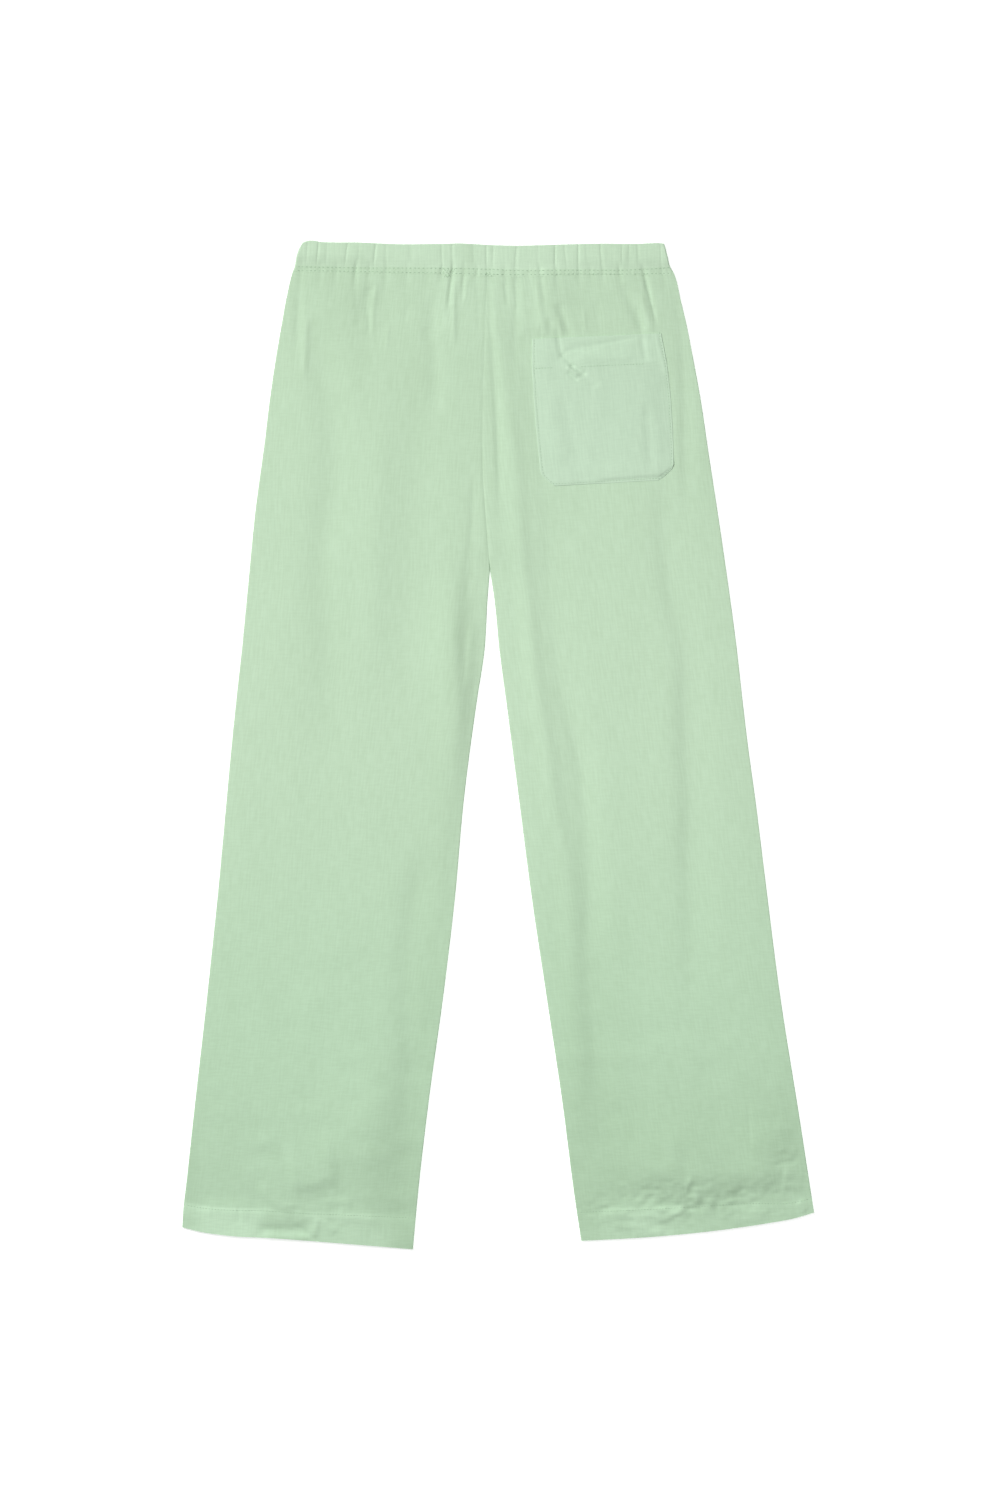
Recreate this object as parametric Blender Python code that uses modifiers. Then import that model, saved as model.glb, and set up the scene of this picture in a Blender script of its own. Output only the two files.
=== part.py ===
"""Linen drawstring trousers, lying flat with the back uppermost.

The front panels lie on the surface and the back panels lie on them, each pair meeting along the outseam and
the inseam. An elasticated casing gathers the waist, and a patch pocket lies on the right back panel.

Sizes are in millimetres and are turned to metres when a mesh is made. The origin is on the surface, midway
along and across: +Y runs from the hems to the waist, +X towards the wearer's right leg, and +Z up.
"""

import bpy
import numpy as np

MM = 0.001
COLLECTION = "linen_drawstring_trousers"

# Cloth and how the layers lie.
CLOTH = 1.2              # wall of one panel
TURNED_HEM = 1.9         # wall where a hem is turned up
CASING = 2.6             # wall of the waistband: folded linen round its elastic
SEAM_GAP = 0.3           # kept between pieces that are sewn edge to edge
LAYER_GAP = 0.3          # kept between the front layer and the back layer
POCKET_GAP = 0.5         # kept between the back panel and the pocket that lies on it
LOFT = 2.2               # how far the back panel stands off the front one away from its edges
LOFT_REACH = 16.0        # distance from an edge over which it rises
HEM_LOFT = 0.35          # share of that loft left at the open hems
HEM_REACH = 160.0        # distance above a hem over which the loft comes back
CROTCH_BLEND = 40.0      # length over which the inseam's edge turns into the seat
EDGE_EASE = 1.6          # how soon folds reach their full height in from an edge
WAIST_RISE = 1.2         # how far the back panel climbs to meet the casing
WAIST_REACH = 45.0
SEAM_GROOVE = 0.5        # depth of the centre-back seam
SEAM_REACH = 4.0
LOWEST_BACK = CLOTH + LAYER_GAP

# Levels along the length, and the hems.
WAIST_SEAM = 499.0
GATHER_END = 440.0
CROTCH = 185.5
HEM_DEPTH = 31.0

# Hem edges: level where each meets its outseam, and level where it meets its inseam.
HEMS = {
    "left": {"column": 1, "outer": -510.9, "inner": -534.2},
    "right": {"column": 2, "outer": -495.2, "inner": -525.2},
}

# How far each hem hangs below the straight line between those: share across, left hem, right hem.
HEM_SAG = (
    (0.0, 0.0, 0.0),
    (0.08, 2.9, 3.4),
    (0.2, 4.2, 5.3),
    (0.4, 2.2, 6.4),
    (0.6, 1.3, 5.8),
    (0.8, 0.5, 3.4),
    (1.0, 0.0, 0.0),
)
HEM_SAG_REACH = 150.0    # distance above the hem over which that sag dies away

# Outseams: level, left leg, right leg.
OUTSEAMS = (
    (499.0, -218.9, 186.2),
    (470.0, -225.5, 193.5),
    (420.0, -233.5, 204.0),
    (365.0, -242.5, 213.5),
    (312.0, -249.0, 221.0),
    (260.0, -256.0, 229.5),
    (155.0, -266.5, 245.5),
    (-58.0, -288.0, 272.0),
    (-270.0, -309.0, 298.5),
    (-495.0, -332.8, 334.4),
    (-510.9, -334.4, 336.8),
)

# Inseams: level, left leg, right leg.
INSEAMS = (
    (185.5, -9.0, -9.0),
    (155.0, -11.5, -4.5),
    (100.0, -14.8, 1.0),
    (47.0, -22.8, 8.0),
    (-58.0, -36.6, 21.7),
    (-164.0, -46.3, 35.5),
    (-270.0, -59.0, 51.4),
    (-376.0, -73.7, 67.3),
    (-482.0, -85.9, 81.1),
    (-534.2, -90.6, 89.0),
)

# Centre-back seam: level, place across.
CENTRE_SEAM = (
    (499.0, -12.2),
    (420.0, -15.0),
    (340.0, -17.0),
    (280.0, -16.2),
    (240.0, -13.3),
    (185.5, -9.0),
)

# Waistband's ends: level, left end, right end.
BAND_ENDS = (
    (499.0, -218.7, 186.0),
    (505.0, -215.7, 181.8),
    (519.0, -213.4, 178.6),
    (530.0, -209.0, 175.0),
)

# Waistband's upper edge: place across, level.
BAND_TOP = (
    (-209.0, 525.5),
    (-205.5, 530.0),
    (-200.0, 533.3),
    (-194.0, 534.2),
    (-187.5, 533.0),
    (-180.0, 532.3),
    (-128.0, 532.0),
    (-110.0, 530.6),
    (-62.0, 530.3),
    (-40.0, 531.4),
    (-26.0, 531.4),
    (-10.0, 529.4),
    (44.0, 529.2),
    (62.0, 530.8),
    (140.0, 531.0),
    (156.0, 532.0),
    (170.0, 531.6),
    (175.0, 529.2),
)

# Creases of the gathered casing: upper place, lower place, half width, depth.
BAND_CREASES = (
    (-203.0, -205.5, 2.0, 0.8),
    (-191.3, -194.5, 2.0, 1.3),
    (-182.5, -184.0, 2.2, 0.6),
    (-160.6, -164.8, 2.2, 1.3),
    (-148.9, -149.5, 1.8, 0.6),
    (-130.9, -134.1, 2.2, 1.4),
    (-120.3, -120.8, 2.0, 0.9),
    (-94.9, -94.2, 2.0, 0.8),
    (-61.5, -60.5, 2.0, 0.9),
    (-50.4, -49.8, 2.0, 1.3),
    (-28.1, -27.0, 4.0, 1.0),
    (-14.0, -13.6, 1.8, 1.2),
    (-6.6, -7.2, 1.8, 1.3),
    (18.5, 15.4, 2.0, 1.3),
    (40.8, 40.4, 2.2, 0.6),
    (58.8, 58.4, 2.2, 1.5),
    (68.4, 71.6, 2.0, 0.9),
    (83.2, 83.0, 2.0, 1.2),
    (91.7, 93.0, 1.8, 0.6),
    (106.5, 109.0, 2.2, 1.3),
    (129.5, 129.0, 2.0, 0.8),
    (137.0, 136.5, 1.8, 0.7),
    (145.8, 147.9, 2.0, 1.3),
    (170.3, 171.5, 1.8, 0.7),
)
BAND_ROWS = (0.0, 0.13, 0.22, 0.42, 0.66, 0.88, 1.0)     # shares of the casing's depth
BAND_FLANGE = 0.13       # share of its depth below the stitching
BAND_BULGE = 0.8         # how far the elastic fills it out above the stitching
BAND_FILL = 0.2          # share of its depth over which it fills out above the stitching
BAND_ROUNDING = 0.3      # share of its depth over which it rounds down to its upper fold
BAND_TOP_FILL = 0.08     # how much of the filling is left at the fold, as a share of its depth
FLANGE_PINCH = 0.55      # depth of a crease below the stitching, as a share of its full depth
BAND_BASE = CASING + LAYER_GAP + 0.9

# Gathers that run down from the waist seam: place at the seam, place at the end, length, half width, depth.
GATHERS = {
    "left": (
        (-211.0, -216.0, 70.0, 3.4, 0.9),
        (-190.0, -194.0, 30.0, 3.0, 0.5),
        (-173.0, -178.0, 25.0, 3.0, 0.6),
        (-152.5, -157.5, 48.0, 2.8, 1.5),
        (-138.0, -142.0, 35.0, 3.0, 0.6),
        (-120.0, -125.0, 40.0, 3.2, 0.7),
        (-98.0, -101.0, 30.0, 3.0, 0.5),
        (-77.0, -79.0, 28.0, 3.0, 0.5),
        (-61.0, -66.0, 18.0, 2.6, 0.9),
        (-50.0, -54.6, 52.0, 2.6, 1.6),
        (-37.6, -38.6, 28.0, 2.4, 1.2),
        (-24.5, -26.0, 25.0, 2.8, 0.6),
    ),
    "right": (
        (5.8, 10.5, 36.0, 2.6, 0.8),
        (17.5, 22.0, 34.0, 2.8, 0.7),
        (31.0, 34.5, 26.0, 2.8, 0.5),
        (43.5, 49.5, 52.0, 2.8, 1.2),
        (60.5, 65.0, 30.0, 2.6, 0.9),
        (84.0, 86.5, 20.0, 2.6, 0.6),
        (96.5, 99.5, 24.0, 2.8, 0.5),
        (109.0, 113.0, 18.0, 2.6, 0.7),
        (127.0, 132.5, 26.0, 2.6, 0.9),
        (153.2, 167.0, 56.0, 2.8, 1.6),
        (173.0, 183.0, 34.0, 2.6, 0.6),
    ),
}

# Largest folds: start across, start level, end across, end level, bow to the right of the way it runs,
# half width, height above the cloth (a trough is below nought).
FOLDS = (
    (-11.0, 490.0, -1.6, 250.0, 1.0, 5.0, -1.2),
    (-0.5, 430.0, 22.8, 90.0, -1.0, 7.0, 1.2),
    (17.5, 470.0, 44.0, 90.0, -3.0, 8.0, -1.2),
    (44.0, 125.0, 94.9, -420.0, -14.0, 11.0, -0.9),
    (160.6, 265.0, 186.0, -20.0, 0.0, 10.0, -1.1),
    (186.0, 10.0, 181.8, -290.0, -4.0, 12.0, -0.8),
    (-196.6, 445.0, -184.0, 190.0, -6.0, 10.0, -1.0),
    (-195.6, 175.0, -187.0, -20.0, 0.0, 10.0, -0.8),
    (-74.7, 480.0, -72.6, 350.0, 0.0, 6.5, -0.7),
    (-30.2, 295.0, -44.0, 150.0, 5.0, 7.0, -1.0),
    (-35.5, 175.0, -34.5, 45.0, 3.0, 7.0, -1.1),
    (-75.8, -95.0, -104.4, -230.0, 4.0, 8.0, -1.1),
    (-104.4, -200.0, -104.4, -480.0, -6.0, 9.0, -1.0),
    (-82.0, -180.0, -80.0, -470.0, 0.0, 10.0, 0.8),
)
FOLD_TAPER = 0.22        # share of a fold's length over which each end dies away

# Patch pocket: level, left edge, right edge. The lowest rows cut its corners off.
POCKET_EDGES = (
    (277.0, 60.0, 169.0),
    (281.0, 54.0, 175.0),
    (289.0, 45.5, 184.0),
    (294.0, 44.2, 185.9),
    (330.0, 40.6, 184.8),
    (366.0, 37.6, 182.6),
    (400.0, 35.5, 178.8),
    (403.0, 35.4, 178.2),
    (433.0, 35.5, 172.5),
)
POCKET_TILT = 3.0        # how far the left edge hangs below its level, and the right edge stands above
POCKET_HEM = 31.5        # depth of the hem turned at its mouth
POCKET_COLUMNS = 14
POCKET_ROWS = 9          # below the turned hem, above the cut corners

# Sections: columns across, and rows along each stretch.
LEG_COLUMNS = 16
SEAT_COLUMNS = 26
FRONT_COLUMNS = 10
LEG_ROWS = 18
SEAT_ROWS = 14
GATHER_LEVELS = (440.0, 453.0, 466.0, 478.0, 489.0, 495.0)
EDGE_CROWDING = 0.45     # 0 spaces the columns evenly, 1 crowds them to the edges as a cosine does

# sRGB colours of the dyed linen, one layer thick and where it is folded over itself.
MINT_PANEL = (0.745, 0.853, 0.730)
MINT_FOLDED = (0.784, 0.882, 0.768)
LINEN_ROUGHNESS = 0.85


def start_scene():
    """Empties the scene and returns a new collection for the garment."""
    for old in list(bpy.data.objects):
        bpy.data.objects.remove(old, do_unlink=True)
    garment = bpy.data.collections.new(COLLECTION)
    bpy.context.scene.collection.children.link(garment)
    return garment


def linen(name, colour):
    """A dull, dyed cloth."""
    material = bpy.data.materials.new(name)
    material.use_nodes = True
    shader = material.node_tree.nodes["Principled BSDF"]
    linear = [channel ** 2.2 for channel in colour]
    shader.inputs["Base Color"].default_value = (*linear, 1.0)
    shader.inputs["Roughness"].default_value = LINEN_ROUGHNESS
    shader.inputs["Metallic"].default_value = 0.0
    return material


def ease(share):
    """Rises smoothly from 0 to 1 as share does."""
    share = np.clip(share, 0.0, 1.0)
    return share * share * (3.0 - 2.0 * share)


def mix(start, end, share):
    """The value that lies the given share of the way from start to end."""
    return start + (end - start) * share


def through(table, column, place):
    """A smooth curve through a table's rows: its first column is the place, and column gives the value.

    Between two rows it is a cubic whose slopes at the rows are those of their neighbours.
    """
    rows = np.array(sorted(table))
    knots, values = rows[:, 0], rows[:, column]
    slopes = np.gradient(values, knots)
    place = np.clip(np.asarray(place, float), knots[0], knots[-1])
    low = np.clip(np.searchsorted(knots, place) - 1, 0, len(knots) - 2)
    span = knots[low + 1] - knots[low]
    share = (place - knots[low]) / span
    rise = ease(share)
    start_pull = share * (1.0 - share) ** 2 * span * slopes[low]
    end_pull = share ** 2 * (1.0 - share) * span * slopes[low + 1]
    return mix(values[low], values[low + 1], rise) + start_pull - end_pull


def fold_height(x, y):
    """Sum of the largest folds: each is a bell across its bowed line, dying away at both ends."""
    height = np.zeros_like(x)
    for x0, y0, x1, y1, bow, half_width, rise in FOLDS:
        run = np.array((x1 - x0, y1 - y0))
        length = np.hypot(*run)
        along = ((x - x0) * run[0] + (y - y0) * run[1]) / length ** 2
        aside = ((x - x0) * run[1] - (y - y0) * run[0]) / length - bow * 4.0 * along * (1.0 - along)
        ends = ease(along / FOLD_TAPER) * ease((1.0 - along) / FOLD_TAPER)
        height += rise * ends * np.exp(-(aside / half_width) ** 2)
    return height


def gather_height(x, y):
    """Sum of the gathers: each trough is deepest at the waist seam and dies away down its length."""
    height = np.zeros_like(x)
    below = WAIST_SEAM - y
    for seam_x, end_x, length, half_width, depth in GATHERS["left"] + GATHERS["right"]:
        centre = mix(seam_x, end_x, below / (WAIST_SEAM - GATHER_END))
        spread = half_width * (1.0 + below / length)
        strength = np.clip(1.0 - below / length, 0.0, 1.0)
        height -= depth * strength * np.exp(-((x - centre) / spread) ** 2)
    return height


def back_height(x, y, outer_gap, inner_gap):
    """Underside of the back layer. It lies on the front one at its edges and stands off it between them.

    outer_gap and inner_gap are the distances to the outseam and to the inseam.
    """
    above_crotch = ease((y - CROTCH) / CROTCH_BLEND + 0.25)
    inner_rise = mix(1.0 - np.exp(-inner_gap / LOFT_REACH), 1.0, above_crotch)
    outer_rise = 1.0 - np.exp(-outer_gap / LOFT_REACH)
    hem_share = mix(HEM_LOFT, 1.0, ease((y - HEMS["left"]["outer"]) / HEM_REACH))
    climb = WAIST_RISE * ease((y - WAIST_SEAM + WAIST_REACH) / WAIST_REACH)
    seam = through(CENTRE_SEAM, 1, y)
    groove = SEAM_GROOVE * above_crotch * np.exp(-np.abs(x - seam) / SEAM_REACH)
    height = LOWEST_BACK + LOFT * inner_rise * outer_rise * hem_share + climb - groove
    folds = (fold_height(x, y) + gather_height(x, y)) * np.minimum(outer_rise * EDGE_EASE, 1.0)
    return np.maximum(height + folds, LOWEST_BACK)


def shares(columns):
    """Places across a section from 0 to 1, closer together at its two ends."""
    even = np.linspace(0.0, 1.0, columns + 1)
    crowded = (1.0 - np.cos(np.pi * even)) / 2.0
    return mix(even, crowded, EDGE_CROWDING)


def crease_columns(creases, start, end):
    """Places across for a section that has to follow creases: three at each crease, and one between two."""
    places = [start]
    for centre, half_width in creases:
        before = centre - half_width
        places.append((places[-1] + before) / 2.0)
        places.extend((before, centre, centre + half_width))
    places.append((places[-1] + end) / 2.0)
    places.append(end)
    return np.array(places)


def leg_section(side, level_outer, level_inner, across):
    """Points of one leg's section, from the outseam to the inner edge, with their gaps to both edges."""
    hem = HEMS[side]
    outer = through(OUTSEAMS, hem["column"], level_outer)
    if level_inner >= CROTCH:
        inner = through(CENTRE_SEAM, 1, level_inner)
    else:
        inner = through(INSEAMS, hem["column"], level_inner)
    inner += np.sign(outer - inner) * SEAM_GAP / 2.0
    x = mix(outer, inner, across)
    sag = through(HEM_SAG, hem["column"], across) * (1.0 - ease((level_outer - hem["outer"]) / HEM_SAG_REACH))
    y = mix(level_outer, level_inner, across) - sag
    return x, y, np.abs(x - outer), np.abs(x - inner)


def leg_rows(side):
    """Every section of a leg panel, hem to waist seam: outer level, inner level and places across."""
    hem = HEMS[side]
    leg = shares(LEG_COLUMNS)
    seat = shares(SEAT_COLUMNS)
    rows = []
    outer_run = CROTCH - hem["outer"]
    hem_shares = [0.0, (HEM_DEPTH - 1.0) / outer_run, (HEM_DEPTH + 1.0) / outer_run]
    leg_shares = list(np.linspace(hem_shares[-1], 1.0, LEG_ROWS + 1)[1:])
    for share in hem_shares + leg_shares:
        rows.append((mix(hem["outer"], CROTCH, share), mix(hem["inner"], CROTCH, share), leg))
    for level in np.linspace(CROTCH, GATHER_END, SEAT_ROWS + 1)[1:-1]:
        rows.append((level, level, seat))
    for level in GATHER_LEVELS + (WAIST_SEAM - SEAM_GAP / 2.0,):
        rows.append((level, level, gather_shares(side, level)))
    return rows


def gather_shares(side, level):
    """Places across at a level of the gathered stretch, which follow the gathers down from the seam."""
    outer = float(through(OUTSEAMS, HEMS[side]["column"], level))
    inner = float(through(CENTRE_SEAM, 1, level))
    down = (WAIST_SEAM - level) / (WAIST_SEAM - GATHER_END)
    gathers = [(mix(row[0], row[1], down), row[3]) for row in GATHERS[side]]
    if side == "left":
        places = crease_columns(gathers, outer, inner)
    else:
        places = crease_columns(gathers, inner, outer)[::-1]
    return (places - outer) / (inner - outer)


def zip_sections(first, first_shares, second, second_shares):
    """Faces between two sections of unlike counts. Each step goes to the section with the nearer share."""
    faces = []
    i = j = 0
    while i < len(first) - 1 or j < len(second) - 1:
        second_done = j == len(second) - 1
        first_done = i == len(first) - 1
        if second_done or (not first_done and first_shares[i + 1] <= second_shares[j + 1]):
            faces.append((first[i], first[i + 1], second[j]))
            i += 1
        else:
            faces.append((first[i], second[j + 1], second[j]))
            j += 1
    return faces


def loft(sections):
    """Points and faces of an open surface through sections, each an array of points with its shares."""
    points = np.concatenate([section for section, _ in sections])
    starts = np.cumsum([0] + [len(section) for section, _ in sections])
    faces = []
    for row in range(len(sections) - 1):
        first = np.arange(starts[row], starts[row + 1])
        second = np.arange(starts[row + 1], starts[row + 2])
        if len(first) == len(second):
            faces.extend(zip(first[:-1], first[1:], second[1:], second[:-1]))
        else:
            faces.extend(zip_sections(first, sections[row][1], second, sections[row + 1][1]))
    return points, [tuple(int(corner) for corner in face) for face in faces]


def cloth_piece(name, sections, wall, material, garment, folded=None, thin_wall=None):
    """A shell: the open surface is its underside, and Solidify gives it its wall upwards.

    folded marks the points, as 0 or 1, where the cloth is turned over itself and has the full wall. The
    rest has thin_wall.
    """
    points, faces = loft(sections)
    across = points[faces[0][1]] - points[faces[0][0]]
    along = points[faces[0][2]] - points[faces[0][1]]
    if np.cross(across, along)[2] < 0.0:
        faces = [face[::-1] for face in faces]
    mesh = bpy.data.meshes.new(name)
    mesh.from_pydata((points * MM).tolist(), [], faces)
    mesh.materials.append(material)
    piece = bpy.data.objects.new(name, mesh)
    garment.objects.link(piece)
    solidify = piece.modifiers.new("wall", "SOLIDIFY")
    solidify.thickness = wall * MM
    solidify.offset = 1.0
    solidify.use_even_offset = True
    if folded is not None:
        layers = piece.vertex_groups.new(name="turned_cloth")
        layers.add(np.flatnonzero(folded).tolist(), 1.0, "REPLACE")
        solidify.vertex_group = layers.name
        solidify.thickness_vertex_group = thin_wall / wall
    mesh.shade_smooth()
    mesh.set_sharp_from_angle(angle=np.radians(40.0))
    return piece


def make_back_panel(side, material, garment):
    """One back panel, with its folds, its gathers and its turned hem."""
    sections = []
    in_hem = []
    for row, (level_outer, level_inner, across) in enumerate(leg_rows(side)):
        x, y, outer_gap, inner_gap = leg_section(side, level_outer, level_inner, across)
        z = back_height(x, y, outer_gap, inner_gap)
        sections.append((np.column_stack((x, y, z)), across))
        in_hem.extend([row < 2] * len(x))
    return cloth_piece("back_" + side, sections, TURNED_HEM, material, garment, np.array(in_hem), CLOTH)


def make_front_panel(side, material, garment):
    """One front panel, which lies flat on the surface under the back one."""
    sections = []
    across = shares(FRONT_COLUMNS)
    for level_outer, level_inner, _ in leg_rows(side):
        x, y, _, _ = leg_section(side, level_outer, level_inner, across)
        sections.append((np.column_stack((x, y, np.zeros_like(x))), across))
    return cloth_piece("front_" + side, sections, CLOTH, material, garment)


def band_place(top_x, low_x, share):
    """Level and place across of a casing point whose column runs from low_x to top_x."""
    top = through(BAND_TOP, 1, top_x)
    level = mix(WAIST_SEAM + SEAM_GAP / 2.0, top, share)
    return mix(low_x, top_x, share), level


def band_columns():
    """Upper and lower places of the casing's columns, three to each crease and one between."""
    upper = crease_columns([(row[0], row[2]) for row in BAND_CREASES], BAND_ENDS[-1][1], BAND_ENDS[-1][2])
    lower = crease_columns([(row[1], row[2]) for row in BAND_CREASES], BAND_ENDS[0][1], BAND_ENDS[0][2])
    return upper, lower


def band_ends(x, level, columns):
    """Draws the end columns in to the waistband's own slanted ends."""
    left = through(BAND_ENDS, 1, level)
    right = through(BAND_ENDS, 2, level)
    x = np.where(np.arange(columns) == 0, left, x)
    return np.where(np.arange(columns) == columns - 1, right, x)


def band_height(x, share):
    """Underside of the back casing: filled out by its elastic, and pinched in along each crease."""
    filled = ease((share - BAND_FLANGE) / BAND_FILL) * ease((1.0 + BAND_TOP_FILL - share) / BAND_ROUNDING)
    height = BAND_BASE + BAND_BULGE * filled
    for top_x, low_x, half_width, depth in BAND_CREASES:
        pinch = np.exp(-np.abs(x - mix(low_x, top_x, share)) / half_width)
        height = height - depth * pinch * mix(FLANGE_PINCH, 1.0, filled)
    return height


def make_waistband_back(material, garment):
    """The back stretch of the casing, gathered on its elastic."""
    upper, lower = band_columns()
    sections = []
    for share in BAND_ROWS:
        x, y = band_place(upper, lower, share)
        x = band_ends(x, y, len(upper))
        z = np.maximum(band_height(x, share), CASING + LAYER_GAP)
        sections.append((np.column_stack((x, y, z)), upper))
    return cloth_piece("waistband_back", sections, CASING, material, garment)


def make_waistband_front(material, garment):
    """The front stretch of the casing, which lies flat on the surface under the back one."""
    upper = np.array([row[0] for row in BAND_TOP])
    lower = np.linspace(BAND_ENDS[0][1], BAND_ENDS[0][2], len(upper))
    sections = []
    for share in BAND_ROWS:
        x, y = band_place(upper, lower, share)
        x = band_ends(x, y, len(upper))
        sections.append((np.column_stack((x, y, np.zeros_like(x))), upper))
    return cloth_piece("waistband_front", sections, CASING, material, garment)


def pocket_levels():
    """Levels of the pocket's sections: its cut corners, its bag, and the hem turned at its mouth."""
    corners = [row[0] for row in POCKET_EDGES[:3]]
    mouth = POCKET_EDGES[-1][0]
    hem = mouth - POCKET_HEM
    bag = np.linspace(POCKET_EDGES[3][0], hem - 1.0, POCKET_ROWS)
    return corners + list(bag) + [hem + 1.0, mouth - POCKET_HEM / 2.0, mouth]


def make_pocket(material, garment):
    """The patch pocket, made from the right back panel's points moved out by its wall."""
    table = np.array(POCKET_EDGES)
    across = np.linspace(0.0, 1.0, POCKET_COLUMNS + 1)
    sections = []
    in_hem = []
    for level in pocket_levels():
        left = np.interp(level, table[:, 0], table[:, 1])
        right = np.interp(level, table[:, 0], table[:, 2])
        x = mix(left, right, across)
        y = level + POCKET_TILT * (2.0 * across - 1.0)
        outer_gap = through(OUTSEAMS, 2, y) - x
        inner_gap = x - through(CENTRE_SEAM, 1, y)
        z = back_height(x, y, outer_gap, inner_gap) + CLOTH + POCKET_GAP
        sections.append((np.column_stack((x, y, z)), across))
        in_hem.extend([level > POCKET_EDGES[-1][0] - POCKET_HEM] * len(x))
    return cloth_piece("back_pocket", sections, TURNED_HEM, material, garment, np.array(in_hem), CLOTH)


def main():
    garment = start_scene()
    panel_linen = linen("mint_linen", MINT_PANEL)
    folded_linen = linen("mint_linen_folded", MINT_FOLDED)
    for side in ("left", "right"):
        make_front_panel(side, panel_linen, garment)
        make_back_panel(side, panel_linen, garment)
    make_waistband_front(folded_linen, garment)
    make_waistband_back(folded_linen, garment)
    make_pocket(folded_linen, garment)


main()
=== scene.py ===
"""Linen drawstring trousers laid flat with the back uppermost: the looks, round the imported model.

Sizes are in millimetres and are turned to metres when a mesh is made. The frame is the model's own: the
origin is on the surface, +Y runs from the hems to the waist, +X towards the wearer's right leg, and +Z up.
Each cloth piece is a thin shell whose outer face follows its solid, with creases and turned edges added.
"""

import bpy
import numpy as np
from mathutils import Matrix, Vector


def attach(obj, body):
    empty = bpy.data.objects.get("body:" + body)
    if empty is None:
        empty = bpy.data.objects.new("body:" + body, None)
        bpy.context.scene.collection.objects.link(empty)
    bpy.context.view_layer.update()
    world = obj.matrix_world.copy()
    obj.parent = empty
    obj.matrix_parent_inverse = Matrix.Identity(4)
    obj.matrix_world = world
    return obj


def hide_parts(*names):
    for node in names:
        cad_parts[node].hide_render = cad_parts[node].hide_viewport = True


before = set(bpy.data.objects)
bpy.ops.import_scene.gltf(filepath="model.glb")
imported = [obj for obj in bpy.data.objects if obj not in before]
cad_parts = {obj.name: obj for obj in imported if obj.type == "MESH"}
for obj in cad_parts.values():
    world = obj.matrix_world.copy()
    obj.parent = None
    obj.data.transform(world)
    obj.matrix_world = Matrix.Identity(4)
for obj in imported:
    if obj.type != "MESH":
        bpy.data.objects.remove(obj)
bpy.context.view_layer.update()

MM = 0.001

# ---------------------------------------------------------------- the solids' own sizes, repeated
CLOTH = 1.2              # solid wall of one panel
CASING = 2.6             # solid wall of the waistband
LAYER_GAP = 0.3          # between the front panels and the lowest of the back ones
LOWEST_BACK = CLOTH + LAYER_GAP
LOFT = 2.2               # how far the back panels stand up in their middles
HEM_LOFT = 0.35          # the share of it that is left at the hem
HEM_REACH = 160.0        # and how far above the hem it is whole
LOFT_REACH = 16.0        # folds grow within this distance of the outseam
EDGE_EASE = 1.6          # and are whole where their growth, made this much faster, has come to 1
CROTCH = 185.5
CROTCH_LEAD = 10.0       # this far below the crotch the inner edges begin to rise to the centre seam
CROTCH_BLEND = 40.0      # and they do so over this height
WAIST_SEAM = 499.0
GATHER_END = 440.0       # the level of the gathers' second places
FOLD_TAPER = 0.22        # the share of a fold's length over which each end dies away
HEM_SAG_REACH = 150.0    # how far above the hem its sag still bends the rows of the grid
BAND_ROUNDING = 0.3      # the share of the casing's height over which it sinks to its fold
BAND_TOP_FILL = 0.08     # and how much of that lies beyond the fold
FLANGE_PINCH = 0.55      # the share of a pinch's depth that is left below the stitches
BAND_SLACK = 0.9         # the back casing rides this high on the front one's gathers
BAND_BASE = CASING + LAYER_GAP + BAND_SLACK

HEMS = {
    "left": {"column": 1, "outer": -510.9, "inner": -534.2},
    "right": {"column": 2, "outer": -495.2, "inner": -525.2},
}

# Share across from the outseam, sag of the left hem, sag of the right hem.
HEM_SAG = (
    (0.0, 0.0, 0.0),
    (0.08, 2.9, 3.4),
    (0.2, 4.2, 5.3),
    (0.4, 2.2, 6.4),
    (0.6, 1.3, 5.8),
    (0.8, 0.5, 3.4),
    (1.0, 0.0, 0.0),
)

# Level, left leg's inseam, right leg's inseam.
INSEAMS = (
    (185.5, -9.0, -9.0),
    (155.0, -11.5, -4.5),
    (100.0, -14.8, 1.0),
    (47.0, -22.8, 8.0),
    (-58.0, -36.6, 21.7),
    (-164.0, -46.3, 35.5),
    (-270.0, -59.0, 51.4),
    (-376.0, -73.7, 67.3),
    (-482.0, -85.9, 81.1),
    (-534.2, -90.6, 89.0),
)

# Level, place across.
CENTRE_SEAM = (
    (499.0, -12.2),
    (420.0, -15.0),
    (340.0, -17.0),
    (280.0, -16.2),
    (240.0, -13.3),
    (185.5, -9.0),
)

# Patch pocket: level, left edge, right edge. The lowest rows cut its corners off.
POCKET_EDGES = (
    (277.0, 60.0, 169.0),
    (281.0, 54.0, 175.0),
    (289.0, 45.5, 184.0),
    (294.0, 44.2, 185.9),
    (330.0, 40.6, 184.8),
    (366.0, 37.6, 182.6),
    (400.0, 35.5, 178.8),
    (403.0, 35.4, 178.2),
    (433.0, 35.5, 172.5),
)
POCKET_BOTTOM = POCKET_EDGES[0][0]
POCKET_MOUTH = POCKET_EDGES[-1][0]
POCKET_TILT = 3.0        # its right side lies this much higher than its middle, and its left side lower
POCKET_HEM = 31.5        # depth of its turned mouth

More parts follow.
